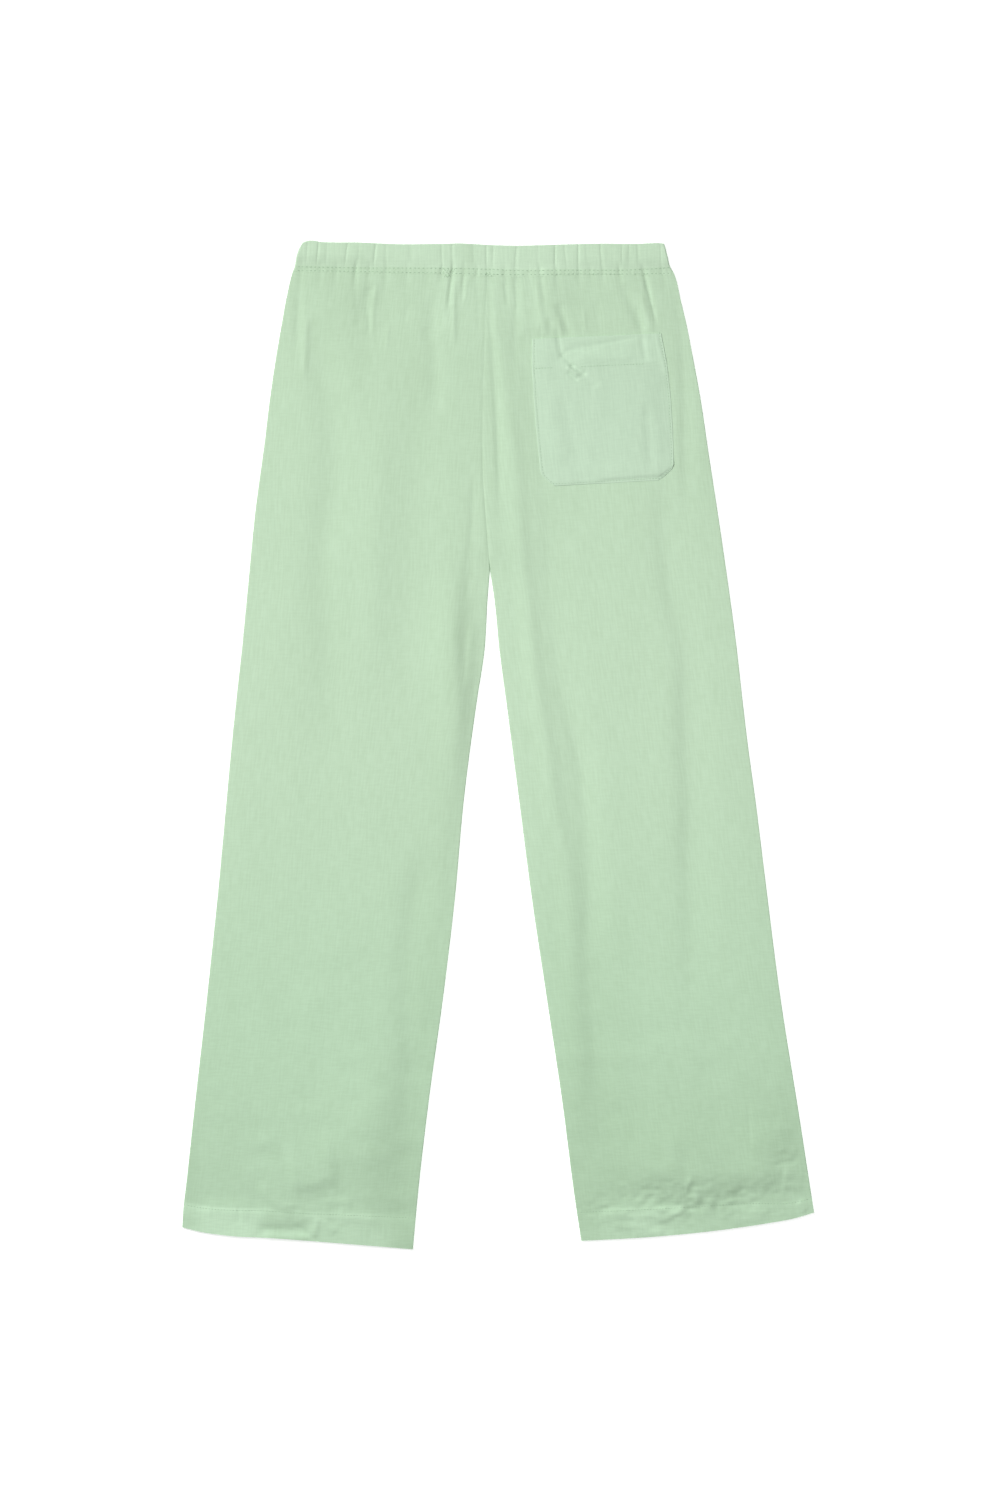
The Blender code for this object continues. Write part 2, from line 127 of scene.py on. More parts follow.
# ---------------------------------------------------------------- edges and creases, finer than the solids'
# Share across from the outseam, depth of the left hem's stitching, depth of the right hem's.
HEM_STITCHING = (
    (0.0, 24.0, 15.0),
    (0.12, 26.0, 17.5),
    (0.25, 28.0, 23.0),
    (0.5, 28.5, 27.5),
    (0.75, 31.0, 29.5),
    (1.0, 33.0, 30.0),
)

# Level, left leg's outseam, right leg's outseam.
OUTSEAMS = (
    (503.0, -217.7, 184.4),
    (499.0, -218.9, 186.2),
    (470.0, -225.5, 193.5),
    (446.0, -229.8, 199.2),
    (414.0, -235.3, 205.5),
    (365.0, -242.5, 214.5),
    (312.0, -249.0, 222.3),
    (260.0, -256.2, 230.3),
    (155.0, -266.8, 245.6),
    (97.0, -272.4, 253.2),
    (57.0, -276.9, 257.6),
    (-5.0, -283.3, 265.0),
    (-58.0, -288.2, 272.3),
    (-137.0, -295.4, 282.1),
    (-266.0, -308.8, 298.6),
    (-395.0, -323.3, 319.0),
    (-460.0, -330.3, 329.0),
    (-495.0, -334.2, 334.4),
    (-510.9, -335.1, 336.8),
)

# Level, waistband's left end, its right end.
BAND_ENDS = (
    (497.0, -219.2, 186.6),
    (499.0, -218.7, 186.0),
    (505.0, -216.5, 182.6),
    (519.0, -213.7, 178.8),
    (526.0, -211.2, 177.0),
    (530.0, -208.9, 175.9),
)

# Place across, level of the waistband's upper fold.
BAND_TOP = (
    (-211.5, 525.0),
    (-208.3, 530.6),
    (-204.0, 533.4),
    (-199.8, 534.3),
    (-195.5, 534.2),
    (-190.0, 533.1),
    (-180.0, 532.5),
    (-147.0, 532.2),
    (-125.0, 531.2),
    (-104.0, 530.4),
    (-62.0, 530.8),
    (-41.0, 531.2),
    (-20.0, 530.2),
    (2.0, 529.1),
    (23.0, 528.9),
    (65.0, 530.0),
    (107.0, 531.0),
    (150.0, 530.9),
    (160.0, 531.4),
    (172.5, 531.3),
    (176.0, 530.9),
)

# Creases of the gathered casing: upper place, lower place, half width, depth.
BAND_CREASES = (
    (-203.0, -205.5, 2.0, 0.8),
    (-191.3, -194.5, 1.6, 1.3),
    (-182.5, -184.0, 2.2, 0.6),
    (-160.6, -164.8, 1.7, 1.3),
    (-148.9, -149.5, 1.8, 0.6),
    (-130.9, -134.1, 1.7, 1.4),
    (-120.3, -120.8, 2.0, 0.9),
    (-94.9, -94.2, 2.0, 0.8),
    (-61.5, -60.5, 2.0, 0.9),
    (-50.4, -49.8, 1.6, 1.4),
    (-28.1, -27.0, 4.0, 1.0),
    (-14.0, -13.6, 1.8, 1.2),
    (-6.6, -7.2, 1.6, 1.4),
    (18.5, 15.4, 1.7, 1.4),
    (40.8, 40.4, 2.2, 0.6),
    (58.8, 58.4, 1.6, 1.6),
    (68.4, 71.6, 2.0, 0.9),
    (83.2, 83.0, 1.7, 1.3),
    (91.7, 93.0, 1.8, 0.6),
    (106.5, 109.0, 1.7, 1.4),
    (129.5, 129.0, 2.0, 0.8),
    (137.0, 136.5, 1.8, 0.7),
    (145.8, 147.9, 1.6, 1.4),
    (170.3, 171.5, 1.8, 0.7),
)

# Gathers below the waist seam: place at the seam, place at their end, length, half width, depth.
GATHERS = (
    (-211.0, -216.0, 70.0, 3.4, 0.9),
    (-190.0, -194.0, 30.0, 3.0, 0.5),
    (-173.0, -178.0, 25.0, 3.0, 0.6),
    (-152.5, -157.5, 48.0, 2.4, 1.6),
    (-138.0, -142.0, 35.0, 3.0, 0.6),
    (-120.0, -125.0, 40.0, 3.2, 0.7),
    (-98.0, -101.0, 30.0, 3.0, 0.5),
    (-77.0, -79.0, 28.0, 3.0, 0.5),
    (-61.0, -66.0, 18.0, 2.6, 0.9),
    (-50.0, -54.6, 52.0, 2.2, 1.7),
    (-37.6, -38.6, 28.0, 2.0, 1.3),
    (-24.5, -26.0, 25.0, 2.8, 0.6),
    (5.8, 10.5, 36.0, 2.6, 0.8),
    (17.5, 22.0, 34.0, 2.4, 0.8),
    (31.0, 34.5, 26.0, 2.8, 0.5),
    (43.5, 49.5, 52.0, 2.6, 1.2),
    (60.5, 65.0, 30.0, 2.6, 0.9),
    (84.0, 86.5, 20.0, 2.6, 0.6),
    (96.5, 99.5, 24.0, 2.8, 0.5),
    (109.0, 113.0, 18.0, 2.6, 0.7),
    (127.0, 132.5, 26.0, 2.6, 0.9),
    (153.2, 167.0, 56.0, 2.4, 1.7),
    (173.0, 183.0, 34.0, 2.6, 0.6),
)

# Long folds that run down the panels: half width towards the left leg, half width towards the right leg, and
# the path as rows of level, place across and height above the cloth. A trough's height is below nought.
LONG_FOLDS = (
    # the trough and the ridge beside the centre-back seam
    (3.2, 6.0, ((500.0, -10.0, -0.6), (419.0, -6.5, -0.9), (371.0, -3.5, -0.9), (323.0, -1.0, -1.3),
                (281.0, 0.4, -0.9), (225.0, 1.0, 0.0))),
    (11.0, 9.0, ((478.0, -2.5, 0.0), (430.0, 1.0, 0.9), (387.0, 5.8, 0.9), (340.0, 12.0, 1.4),
                 (305.0, 17.0, 1.6), (260.0, 20.5, 1.5), (207.0, 24.0, 1.7), (175.0, 28.5, 1.7),
                 (132.0, 33.0, 1.8), (90.0, 37.0, 2.0), (48.0, 42.5, 1.9), (-5.0, 52.0, 1.6),
                 (-58.0, 59.0, 1.4), (-109.0, 70.0, 1.1), (-254.0, 77.8, 0.8), (-380.0, 86.0, 0.5),
                 (-440.0, 90.0, 0.0))),
    # the right leg's inner trough, and the broad one that joins it at the knee
    (9.0, 18.0, ((515.0, 20.0, 0.0), (480.0, 22.0, -0.6), (437.0, 25.5, -0.8), (366.0, 35.0, -0.85),
                 (313.0, 43.0, -0.9), (260.0, 51.0, -0.6), (207.0, 54.0, -0.9), (154.0, 56.5, -0.7),
                 (101.0, 62.5, -0.9), (48.0, 69.0, -1.3), (-5.0, 84.5, -1.5), (-58.0, 91.0, -1.0),
                 (-111.0, 94.5, -1.0), (-164.0, 96.5, -1.8), (-217.0, 96.0, -1.3), (-270.0, 98.5, -1.2),
                 (-323.0, 102.5, -1.2), (-376.0, 107.0, -0.6), (-450.0, 112.0, 0.0))),
    (27.0, 15.0, ((70.0, 62.0, 0.0), (0.0, 78.0, -1.0), (-60.0, 88.0, -1.9), (-110.0, 94.0, -1.8),
                  (-170.0, 97.0, -0.7), (-240.0, 100.0, 0.0))),
    # the right leg's outer trough
    (12.0, 24.0, ((420.0, 168.0, 0.0), (364.0, 173.0, -0.8), (312.0, 176.0, -0.9), (260.0, 175.0, -1.0),
                  (207.0, 178.0, -1.4), (154.0, 185.0, -1.9), (101.0, 197.0, -1.5), (48.0, 199.0, -2.1),
                  (-5.0, 200.5, -2.2), (-58.0, 203.0, -1.8), (-111.0, 202.0, -2.0), (-164.0, 204.0, -1.6),
                  (-230.0, 205.0, -0.9), (-300.0, 206.0, 0.0))),
    # the hip, outside the pocket
    (6.0, 12.0, ((510.0, 186.0, 0.0), (475.0, 190.0, -0.7), (450.0, 194.0, -0.8), (366.0, 197.0, -0.9),
                 (312.0, 197.5, -1.1), (270.0, 199.0, -0.6), (230.0, 202.0, 0.0))),
    # the left leg's outer trough, and the swell and the hollow beside it
    (17.0, 19.0, ((455.0, -197.0, 0.0), (430.0, -191.5, -1.3), (414.0, -188.0, -1.8), (375.0, -182.0, -2.1),
                  (327.0, -175.5, -1.9), (280.0, -176.0, -1.8), (233.0, -182.0, -2.0), (182.0, -186.0, -2.0),
                  (109.0, -180.0, -1.6), (51.0, -182.0, -1.2), (-20.0, -187.0, -0.7), (-80.0, -190.0, 0.0))),
    (22.0, 15.0, ((390.0, -126.0, 0.0), (323.0, -125.7, 0.8), (254.0, -127.9, 1.2), (138.0, -132.0, 0.8),
                  (60.0, -135.0, 0.3), (0.0, -137.0, 0.0))),
    (15.0, 24.0, ((400.0, -84.0, 0.0), (330.0, -86.0, -0.4), (254.0, -88.0, -0.7), (138.0, -95.0, -0.6),
                  (60.0, -102.0, -0.3), (0.0, -104.0, 0.0))),
    # the left leg's inner edge, which turns away
    (24.0, 14.0, ((215.0, -44.0, 0.0), (185.0, -46.0, 1.0), (154.0, -48.0, 2.7), (120.0, -49.0, 4.4),
                  (90.0, -48.5, 5.0), (48.0, -45.0, 5.0), (-5.0, -47.5, 3.8), (-50.0, -51.0, 2.2),
                  (-90.0, -56.0, 1.4), (-130.0, -61.0, 1.0), (-180.0, -67.0, 0.5), (-230.0, -74.0, 0.0))),
    # the left shin's crease, and the swell beside it above the hem
    (14.0, 19.0, ((-100.0, -76.0, 0.0), (-118.0, -79.0, -0.5), (-132.0, -82.0, -1.1), (-155.0, -86.0, -1.9),
                  (-180.0, -89.5, -1.7), (-217.0, -93.5, -1.4), (-270.0, -95.0, -1.4), (-310.0, -92.0, -1.7),
                  (-345.0, -92.0, -1.8), (-376.0, -94.0, -1.3), (-410.0, -98.0, -0.8), (-450.0, -101.0, -0.4),
                  (-520.0, -106.0, 0.0))),
    (54.0, 36.0, ((-250.0, -130.0, 0.0), (-310.0, -132.0, 0.9), (-360.0, -135.0, 2.2), (-405.0, -141.0, 3.8),
                  (-440.0, -147.0, 4.0), (-475.0, -147.0, 2.4), (-530.0, -142.0, 0.0))),
    # the gathers' slack below the left side of the casing
    (24.0, 26.0, ((490.0, -132.0, 0.0), (462.0, -133.0, -1.1), (436.0, -134.0, -1.3), (412.0, -136.0, -0.6),
                  (385.0, -138.0, 0.0))),
)

# Folds that run straight or in one bow: start across, start level, end across, end level, bow to the right
# of the way it runs, half width (or one to its right and one to its left), height.
BOWED_FOLDS = (
    (-70.0, 484.0, -66.0, 340.0, 0.0, 9.0, -1.0),
    (-54.0, 497.0, -52.0, 425.0, 0.0, 9.0, 0.7),
    (-26.5, 296.0, -36.5, 140.0, -4.0, 6.0, -0.6),
    (-28.0, 134.0, -32.5, 54.0, 0.0, 4.0, 7.0, 1.0),
    (53.0, 518.0, 55.0, 425.0, 0.0, 32.0, 22.0, 1.7),
)

# Smaller creases of the back panels, in the same columns.
SEAT_CREASES = (
    (17.5, 470.0, 17.0, 398.0, 0.0, 4.0, -0.4),
    (26.0, 494.0, 27.0, 425.0, 0.0, 5.5, 0.5),
    (40.0, 494.0, 47.0, 436.0, 0.0, 3.2, 0.5),
    (45.0, 447.0, 45.0, 430.0, 0.0, 1.5, -0.4),
    (54.0, 453.0, 56.0, 430.0, 0.0, 4.2, -0.8),
    (62.0, 470.0, 77.0, 430.0, 0.0, 4.6, -1.1),
    (64.0, 452.0, 66.0, 433.0, 0.0, 2.2, 0.4),
    (90.0, 463.0, 92.5, 434.0, 0.0, 2.0, 0.4),
    (103.0, 472.0, 108.0, 431.0, 0.0, 5.0, -0.4),
    (131.0, 490.0, 153.0, 434.0, 0.0, 5.0, -0.9),
    (146.0, 466.0, 153.5, 433.0, 0.0, 3.4, -0.8),
    (149.0, 480.0, 164.0, 434.0, 0.0, 3.6, 0.7),
    (155.0, 496.0, 168.0, 444.0, 0.0, 1.8, -0.7),
    (-211.0, 478.0, -215.0, 412.0, 0.0, 4.0, -0.6),
    (-203.0, 458.0, -206.0, 384.0, 0.0, 3.6, 0.8),
    (-151.0, 503.0, -156.0, 456.0, 0.0, 2.6, 0.5),
    (-133.0, 489.0, -139.0, 455.0, 3.0, 4.2, -0.7),
    (-140.0, 466.0, -136.0, 436.0, 0.0, 3.2, -0.6),
    (-146.0, 480.0, -150.0, 438.0, -2.0, 5.0, -0.5),
    (-128.0, 492.0, -133.0, 430.0, 2.0, 2.4, 0.5),
    (-116.0, 447.0, -119.0, 418.0, 0.0, 2.2, 0.4),
    (-92.0, 470.0, -99.0, 446.0, 2.0, 3.0, -0.3),
    (-80.0, 441.0, -71.0, 428.0, 0.0, 5.0, -0.5),
    (-65.0, 474.0, -63.0, 418.0, 0.0, 5.0, 0.25),
    (-50.0, 495.0, -54.0, 459.0, 0.0, 1.5, -0.5),
    (-47.5, 497.0, -47.0, 420.0, 0.0, 2.6, 0.7),
    (-37.5, 497.0, -38.5, 468.0, 0.0, 1.5, -0.3),
    (-34.0, 497.0, -35.0, 468.0, 0.0, 2.0, 0.4),
    (-22.5, 494.0, -21.0, 430.0, 0.0, 1.5, -0.2),
    (-6.5, 494.0, -3.0, 418.0, 0.0, 5.0, 0.7),
    (6.0, 494.0, 10.0, 462.0, 0.0, 1.8, -0.4),
    (17.0, 495.0, 20.0, 455.0, 0.0, 1.5, -0.4),
    # the crease that the pocket's mouth is caught in, which the pocket follows
    (60.5, 444.0, 68.0, 405.0, 0.0, 2.8, -1.0),
    (66.0, 416.0, 81.0, 398.0, 0.0, 2.6, -1.2),
    (75.0, 404.0, 94.0, 391.0, 0.0, 2.4, -1.3),
    (72.0, 396.0, 85.0, 385.0, 0.0, 2.2, -1.0),
    (86.0, 396.0, 106.0, 378.0, 0.0, 5.0, -0.7),
    # beside the centre-back seam, down to the left thigh
    (-28.0, 288.0, -38.0, 172.0, -4.0, 2.2, -0.2),
)

# Crumples that rumple the hems, in the same columns.
HEM_CREASES = (
    # left leg
    (-259.0, -513.0, -196.0, -514.0, 0.0, 5.5, -1.6),
    (-253.0, -521.0, -195.0, -522.0, 0.0, 4.0, 0.7),
    (-190.0, -499.0, -197.0, -524.0, 0.0, 4.0, 0.9),
    (-226.0, -500.0, -190.0, -524.0, 2.0, 3.0, -0.6),
    (-186.0, -502.0, -172.0, -518.0, 0.0, 4.0, 0.7),
    (-226.0, -462.0, -166.0, -453.0, 0.0, 13.0, 42.0, 2.0),
    (-210.0, -470.0, -184.0, -462.0, 0.0, 5.0, 0.4),
    (-258.0, -466.0, -212.0, -494.0, 4.0, 5.0, 12.0, 0.9),
    (-186.0, -482.0, -152.0, -485.0, 0.0, 4.5, 0.6),
    (-275.0, -487.0, -275.0, -508.0, 0.0, 2.2, -0.5),
    (-143.0, -424.0, -126.0, -424.0, 0.0, 2.2, 0.4),
    (-258.0, -426.0, -241.0, -420.0, 0.0, 3.0, 0.4),
    (-316.0, -490.0, -256.0, -492.0, 0.0, 9.0, 1.0),
    (-176.0, -496.0, -122.0, -503.0, 0.0, 8.0, 0.9),
    # right leg
    (122.0, -454.0, 322.0, -455.0, -2.0, 19.0, 56.0, 2.8),
    (152.0, -456.0, 300.0, -456.0, 0.0, 16.0, 42.0, 1.8),
    (112.0, -436.0, 200.0, -444.0, 0.0, 14.0, 40.0, 0.9),
    (174.0, -474.0, 262.0, -471.0, 2.0, 10.0, 18.0, 1.9),
    (198.0, -482.0, 236.0, -482.0, 0.0, 5.0, 8.0, 0.9),
    (88.0, -442.0, 236.0, -452.0, 0.0, 30.0, 56.0, 0.9),
    (150.0, -499.0, 182.0, -493.0, 0.0, 4.0, 0.9),
    (164.0, -504.0, 200.0, -488.0, 3.0, 4.0, 1.1),
    (204.0, -455.0, 197.0, -478.0, 0.0, 2.6, 0.6),
    (103.0, -491.0, 152.0, -489.0, 0.0, 3.0, -0.6),
    (118.0, -510.0, 162.0, -512.0, -2.0, 4.0, 0.9),
    (220.0, -488.0, 254.0, -483.0, 0.0, 3.4, 0.6),
    (252.0, -478.0, 308.0, -484.0, 0.0, 5.0, 0.6),
    (236.0, -496.0, 290.0, -493.0, 0.0, 6.0, 0.8),
    (244.0, -503.0, 284.0, -501.0, 0.0, 4.0, 0.5),
    (300.0, -453.0, 326.0, -458.0, 0.0, 8.0, 0.9),
    (288.0, -392.0, 303.0, -474.0, 0.0, 30.0, 13.0, 0.9),
    (292.0, -405.0, 316.0, -409.0, 0.0, 4.0, 0.6),
    (296.0, -427.0, 318.0, -431.0, 0.0, 3.6, 0.7),
    (292.0, -444.0, 318.0, -440.0, 0.0, 3.0, -0.6),
    (298.0, -466.0, 326.0, -468.0, 0.0, 4.0, 0.7),
    (318.0, -482.0, 327.0, -494.0, 0.0, 5.0, 1.0),
    (108.0, -494.0, 186.0, -496.0, 0.0, 9.0, 1.2),
    (140.0, -517.0, 178.0, -517.0, 0.0, 5.0, 0.9),
    (264.5, -372.0, 266.0, -432.0, 0.0, 3.0, -0.3),
)

# Where the cloth is finely rumpled, most at the hems: place across, level, half width, half length, height.
RUMPLED_HEMS = (
    (230.0, -320.0, 110.0, 130.0, 0.1),
    (215.0, -481.0, 70.0, 20.0, 0.8),
    (135.0, -492.0, 50.0, 22.0, 0.4),
    (308.0, -430.0, 30.0, 60.0, 0.26),
    (-196.0, -488.0, 60.0, 26.0, 0.2),
)

# Creases of the pocket, in the same columns as the others.
POCKET_CREASES = (
    # the crumples at the foot of the crease that the mouth is caught in
    (71.0, 401.0, 85.0, 390.0, 0.0, 2.0, 1.0),
    (58.0, 414.0, 62.0, 380.0, 0.0, 9.0, -0.4),
    # the slack of the mouth
    (66.0, 416.5, 114.0, 421.0, -1.0, 2.6, -0.8),
    (70.0, 422.0, 152.0, 433.0, 2.0, 2.6, -0.6),
    (76.0, 409.0, 150.0, 411.0, 0.0, 5.0, 7.0, 0.9),
    (151.0, 437.0, 156.0, 404.0, 0.0, 3.4, -0.7),
    (164.0, 442.0, 180.0, 386.0, 0.0, 2.0, 0.4),
    # the folds down its sides, and the cloth that hangs over its stitching along the bottom
    (66.0, 376.0, 87.0, 286.0, 0.0, 9.0, 6.0, -0.6),
    (56.0, 376.0, 68.0, 290.0, 0.0, 8.0, 0.3),
    (156.0, 366.0, 162.0, 284.0, 0.0, 5.0, -0.7),
    (171.0, 344.0, 176.0, 290.0, 0.0, 7.0, 0.3),
    (50.0, 276.0, 118.0, 280.0, 0.0, 1.9, 9.0, 0.5),
    (100.0, 281.5, 184.0, 288.0, 0.0, 1.9, 13.0, 0.9),
    (166.0, 282.5, 191.0, 301.0, 0.0, 1.8, 9.0, 0.7),
)

# ---------------------------------------------------------------- what only the scene has
LINEN = 0.5              # wall of one layer as it shows at an edge
LINEN_HEM = 1.2          # wall of a turned hem
LINEN_CASING = 1.1
SPLIT_ANGLE = 55.0       # a corner sharper than this isn't shaded as a round one
LATTICE = 128            # a random field repeats after this many points
LATTICE_SHIFT = 1000.0   # keeps the places on it above nought

# The panels
THINNER = 1.0            # the cloth that shows is thinner than the solids, so troughs may sink this far lower
SOFT_REACH = 44.0        # it rises from its edges more gently than the solids do
GATHER_SLACK = 0.78      # and spans their gathers a little less deeply
CREASE_LEAN = 1.2        # gathers and pinches lean: at the surface they lie this much further right
WAIST_CLIMB = 0.6        # the panels climb to the casing in a broad slope
WAIST_REACH = 45.0
WAIST_TUCK = 0.3         # that ends in a steep one
TUCK_REACH = 13.0
SEAM_DIP = 0.2           # the centre-back seam lies in a soft dip
SEAM_DIP_REACH = 4.0
SEAM_LINE = (0.4, 0.12)  # with a sharp line in it, which is this deep low down and high up
SEAM_LINE_LEVEL = 250.0  # above this level it grows shallower
SEAM_LINE_BLEND = 120.0
SEAM_LINE_WIDTH = 1.2
HEM_STEP = 0.4           # a turned hem raises the face by the linen's real thickness only
HEM_STEP_WIDTH = 8.0     # in a slope this wide, with the stitching in its middle
HEM_MARGIN = 2.5         # the turned cloth reaches this far above its stitching
HEM_BLEND = 4.0          # and its look fades over this much
HEM_PATCHINESS = 0.2     # that look is randomly stronger or weaker by this much
EDGE_LEVEL = 0.95        # where the upper and the lower layer meet at a side seam
EDGE_RADIUS = 0.6        # how far in from it the cloth has turned flat
INSEAM_FADE = 10.0       # the inner edge is rolled as far as the crotch, and no longer this far above it
ALLOWANCE = 13.0         # width of the inseam's allowance, which shows through faintly
ALLOWANCE_BLEND = 1.5
ALLOWANCE_PALENESS = 0.08
PANEL_TOP = 502.6        # the panels run on a little way under the casing's flange
GREENER_FROM = 60.0      # below this level the dye looks greener, and fully so this much further down
GREENER_REACH = 420.0
FRONT_RADIUS = 2.2       # the front's edges are rolled more widely
FRONT_DROP = 0.06        # and end this far below the back's
FRONT_FOLDS = 0.35       # the back's long troughs, mirrored, lift it by this share of their depth
FRONT_WAVES = 0.16       # and a random unevenness lifts it this far
FRONT_PALENESS = 0.5     # its turned hem looks this much paler
LOOK_BLEND = 2.0         # the looks of its hem and of the casing change over this much

# The casing
BAND_FOLD_LEVEL = 2.9    # where the two casings meet
FRONT_FOLD_DROP = 0.3    # the front one ends this far below that
BAND_RADIUS = 0.8        # how widely the back one's fold and its ends are rolled
BAND_END_RADIUS = 1.6
FRONT_BAND_RADIUS = 2.2  # and both of the front one's
BAND_DEPTH = 32.0        # from the waist seam to the casing's fold
BAND_LIP = 0.25          # the casing's fold stands up this much above the elastic
LIP_REACH = 5.0
CASING_BULGE = 0.32      # the elastic fills the casing out a little less than the solid's bulge
FILL_REACH = 9.0         # within this distance of the upper row of stitches
BULGE_WAVES = 0.24
FLANGE_REACH = 18.0      # above its lower row of stitches the casing leaves the panels over this much
FLANGE_RISE = 0.12       # it starts this far above them
FLANGE_LEAST = 0.08      # and is nowhere nearer than this
PINCH_DEPTH = 0.52       # its creases are pinched to this share of the solid's depth
PINCH_WIDTH = 0.48       # and of its half width
PINCH_RADIUS = 0.3       # with a bottom rounded as widely as this
FRONT_PINCH = 0.5        # and the front one's to this share of the depth
PUCKER_HEIGHT = (0.12, 0.4)     # along the stitches, where the cloth was eased in least and most
PUCKER_LEVEL = 1.0       # the puckers are highest this far above the lower row
PUCKER_WIDTH = 4.5
STITCH_PULL = 0.15       # the upper row pulls the cloth down at the most this far, the lower row half as far
UPPER_PULL_WIDTH = 0.9
LOWER_PULL_WIDTH = 0.8

# The pocket
POCKET_RISE = 0.28       # how far the pocket's stitched edge stands off the panel
POCKET_PUFF = 0.5        # and how much further its middle does
PUFF_START = 3.0         # from this far in
PUFF_REACH = 14.0
POCKET_LEAST = 0.15      # it is nowhere nearer to the panel than this, and its edge ends this far in it
POCKET_RADIUS = 0.8      # how widely its edge is rolled
MOUTH_OVERHANG = 0.4     # along the mouth the roll begins this far beyond the edge, which so stands open
MOUTH_STEP = 0.22        # its turned mouth stands up this much
MOUTH_STEP_WIDTH = 6.0
MOUTH_BLEND = 3.0        # and its look changes over this much
MOUTH_PALENESS = (0.25, 0.6)    # left and right of the place MOUTH_PALER
MOUTH_PALER = 58.0
MOUTH_PALER_BLEND = 14.0
POCKET_LEAN = 5.8        # degrees that its grain is turned, with its sides
POCKET_WIDTH = 140.0     # near enough, for steps of the grid and for its mouth's tilt

# Dents that edges and stitches press into the cloth: half width, depth.
HEM_DENT = (1.3, 0.06)
POCKET_DENT = (2.6, 0.15)            # in the panel, along the pocket's edge
POCKET_STITCH_DENT = (1.2, 0.22)
MOUTH_DENT = (1.1, 0.08)

# The stitches
STITCH_INSET = 2.4       # from the pocket's edge to its row of stitches
STITCH_LIFT = 0.06       # the stitches are pulled into the cloth, so their middles hardly stand above it
CASING_PITCH = 4.4       # from one stitch of the casing to the next
PLAIN_STITCH = (3.2, 2.7, 0.55)      # pitch, length, width
CASING_STITCH = (CASING_PITCH, 3.2, 0.7)
TACK_STITCH = (2.2, 2.0, 0.6)
STITCH_RINGS = 5         # a stitch has this many rings of points
STITCH_SIDES = 6         # and each ring this many
STITCH_TAPER = 1.84      # at 2 its ends would be points
STITCH_FLATNESS = 0.7    # its height over its width
CASING_STITCHED = (-214.0, 181.0, 80)    # where the rows begin and end, and how many places make the path
HEM_STITCHED = (0.015, 0.985, 60)    # the same for a hem's row, as shares across

# Place across, level of the casing's lower edge.
FLANGE_EDGE = (
    (-219.0, 501.0),
    (-125.0, 499.4),
    (-62.0, 498.2),
    (-9.0, 495.8),
    (44.0, 495.4),
    (72.0, 497.4),
    (130.0, 498.0),
    (187.0, 497.2),
)

# Place across, level of the casing's upper row of stitches, level of its lower row.
CASING_STITCHING = (
    (-216.0, 506.5, 502.6),
    (-147.0, 505.0, 501.2),
    (-104.0, 504.7, 500.4),
    (-62.0, 504.5, 499.6),
    (-10.0, 503.4, 498.2),
    (23.0, 502.0, 497.8),
    (50.0, 502.2, 498.0),
    (80.0, 502.6, 498.6),
    (140.0, 502.8, 498.6),
    (160.0, 503.8, 499.0),
    (183.0, 505.6, 499.6),
)

# Zigzag bar tacks over the casing's stitching: start and end across, lower and upper level.
BAR_TACKS = (
    (-58.5, -45.0, 500.0, 503.6),
    (-57.5, -49.0, 494.6, 497.6),
    (-14.5, -7.0, 496.6, 500.4),
)
TACK_STEP = 1.7

# The pocket mouth's stitching: name, start and end as shares across, number of places in the path.
MOUTH_STITCHING = (
    ("left", 0.02, 0.16, 20),
    ("right", 0.36, 0.84, 20),
)

# Place across, how much paler than one layer the turned hem looks there.
HEM_PALENESS = (
    (-336.0, 0.35),
    (-306.0, 0.95),
    (-264.0, 1.0),
    (-244.0, 0.35),
    (-205.0, 0.25),
    (-178.0, 0.45),
    (-125.0, 0.5),
    (-104.0, 0.05),
    (-90.0, 0.0),
    (80.0, 0.0),
    (104.0, 0.05),
    (126.0, 0.3),
    (182.0, 0.45),
    (204.0, 0.05),
    (240.0, 0.0),
    (270.0, 0.1),
    (337.0, 0.1),
)

# Painted shade: broad soft patches where the colour is darkened in place of shade; a patch whose amount is
# below nought lessens that shade where it overlaps others. Place across, level, half width, half length, and
# how much.
PAINTED_SHADING_PATCHES = (
    (-50.0, 330.0, 210.0, 190.0, 0.4),
    (-160.0, 455.0, 70.0, 80.0, 0.5),
    (-186.0, 503.0, 56.0, 24.0, 0.4),
    (120.0, 430.0, 60.0, 60.0, 0.35),
    (-98.0, -522.0, 14.0, 36.0, 0.8),
    (4.0, 480.0, 50.0, 34.0, -0.3),
    (-32.0, 520.0, 9.0, 24.0, 1.0),
    (134.0, 520.0, 32.0, 24.0, 0.35),
    (-48.0, 462.0, 26.0, 30.0, -0.3),
    (-88.0, 370.0, 16.0, 70.0, 0.35),
    (214.0, 290.0, 16.0, 40.0, 0.4),
    (-186.0, 90.0, 34.0, 110.0, 0.4),
    (-36.0, 110.0, 18.0, 50.0, 0.4),
    (82.0, -490.0, 18.0, 50.0, 0.4),
    (-160.0, -450.0, 40.0, 50.0, 0.3),
    (122.0, -428.0, 64.0, 45.0, 0.6),
    (292.0, -405.0, 46.0, 50.0, 0.75),
    (-327.0, -430.0, 12.0, 80.0, 0.5),
    (176.0, 350.0, 50.0, 110.0, 0.2),
    (-50.0, 40.0, 40.0, 150.0, 0.4),
    (-66.0, -300.0, 34.0, 210.0, 0.8),
    (-106.0, -470.0, 30.0, 90.0, 0.75),
    (244.0, -470.0, 18.0, 18.0, 0.4),
    (88.0, -360.0, 52.0, 200.0, 0.9),
    (204.0, -430.0, 100.0, 66.0, 0.75),
)

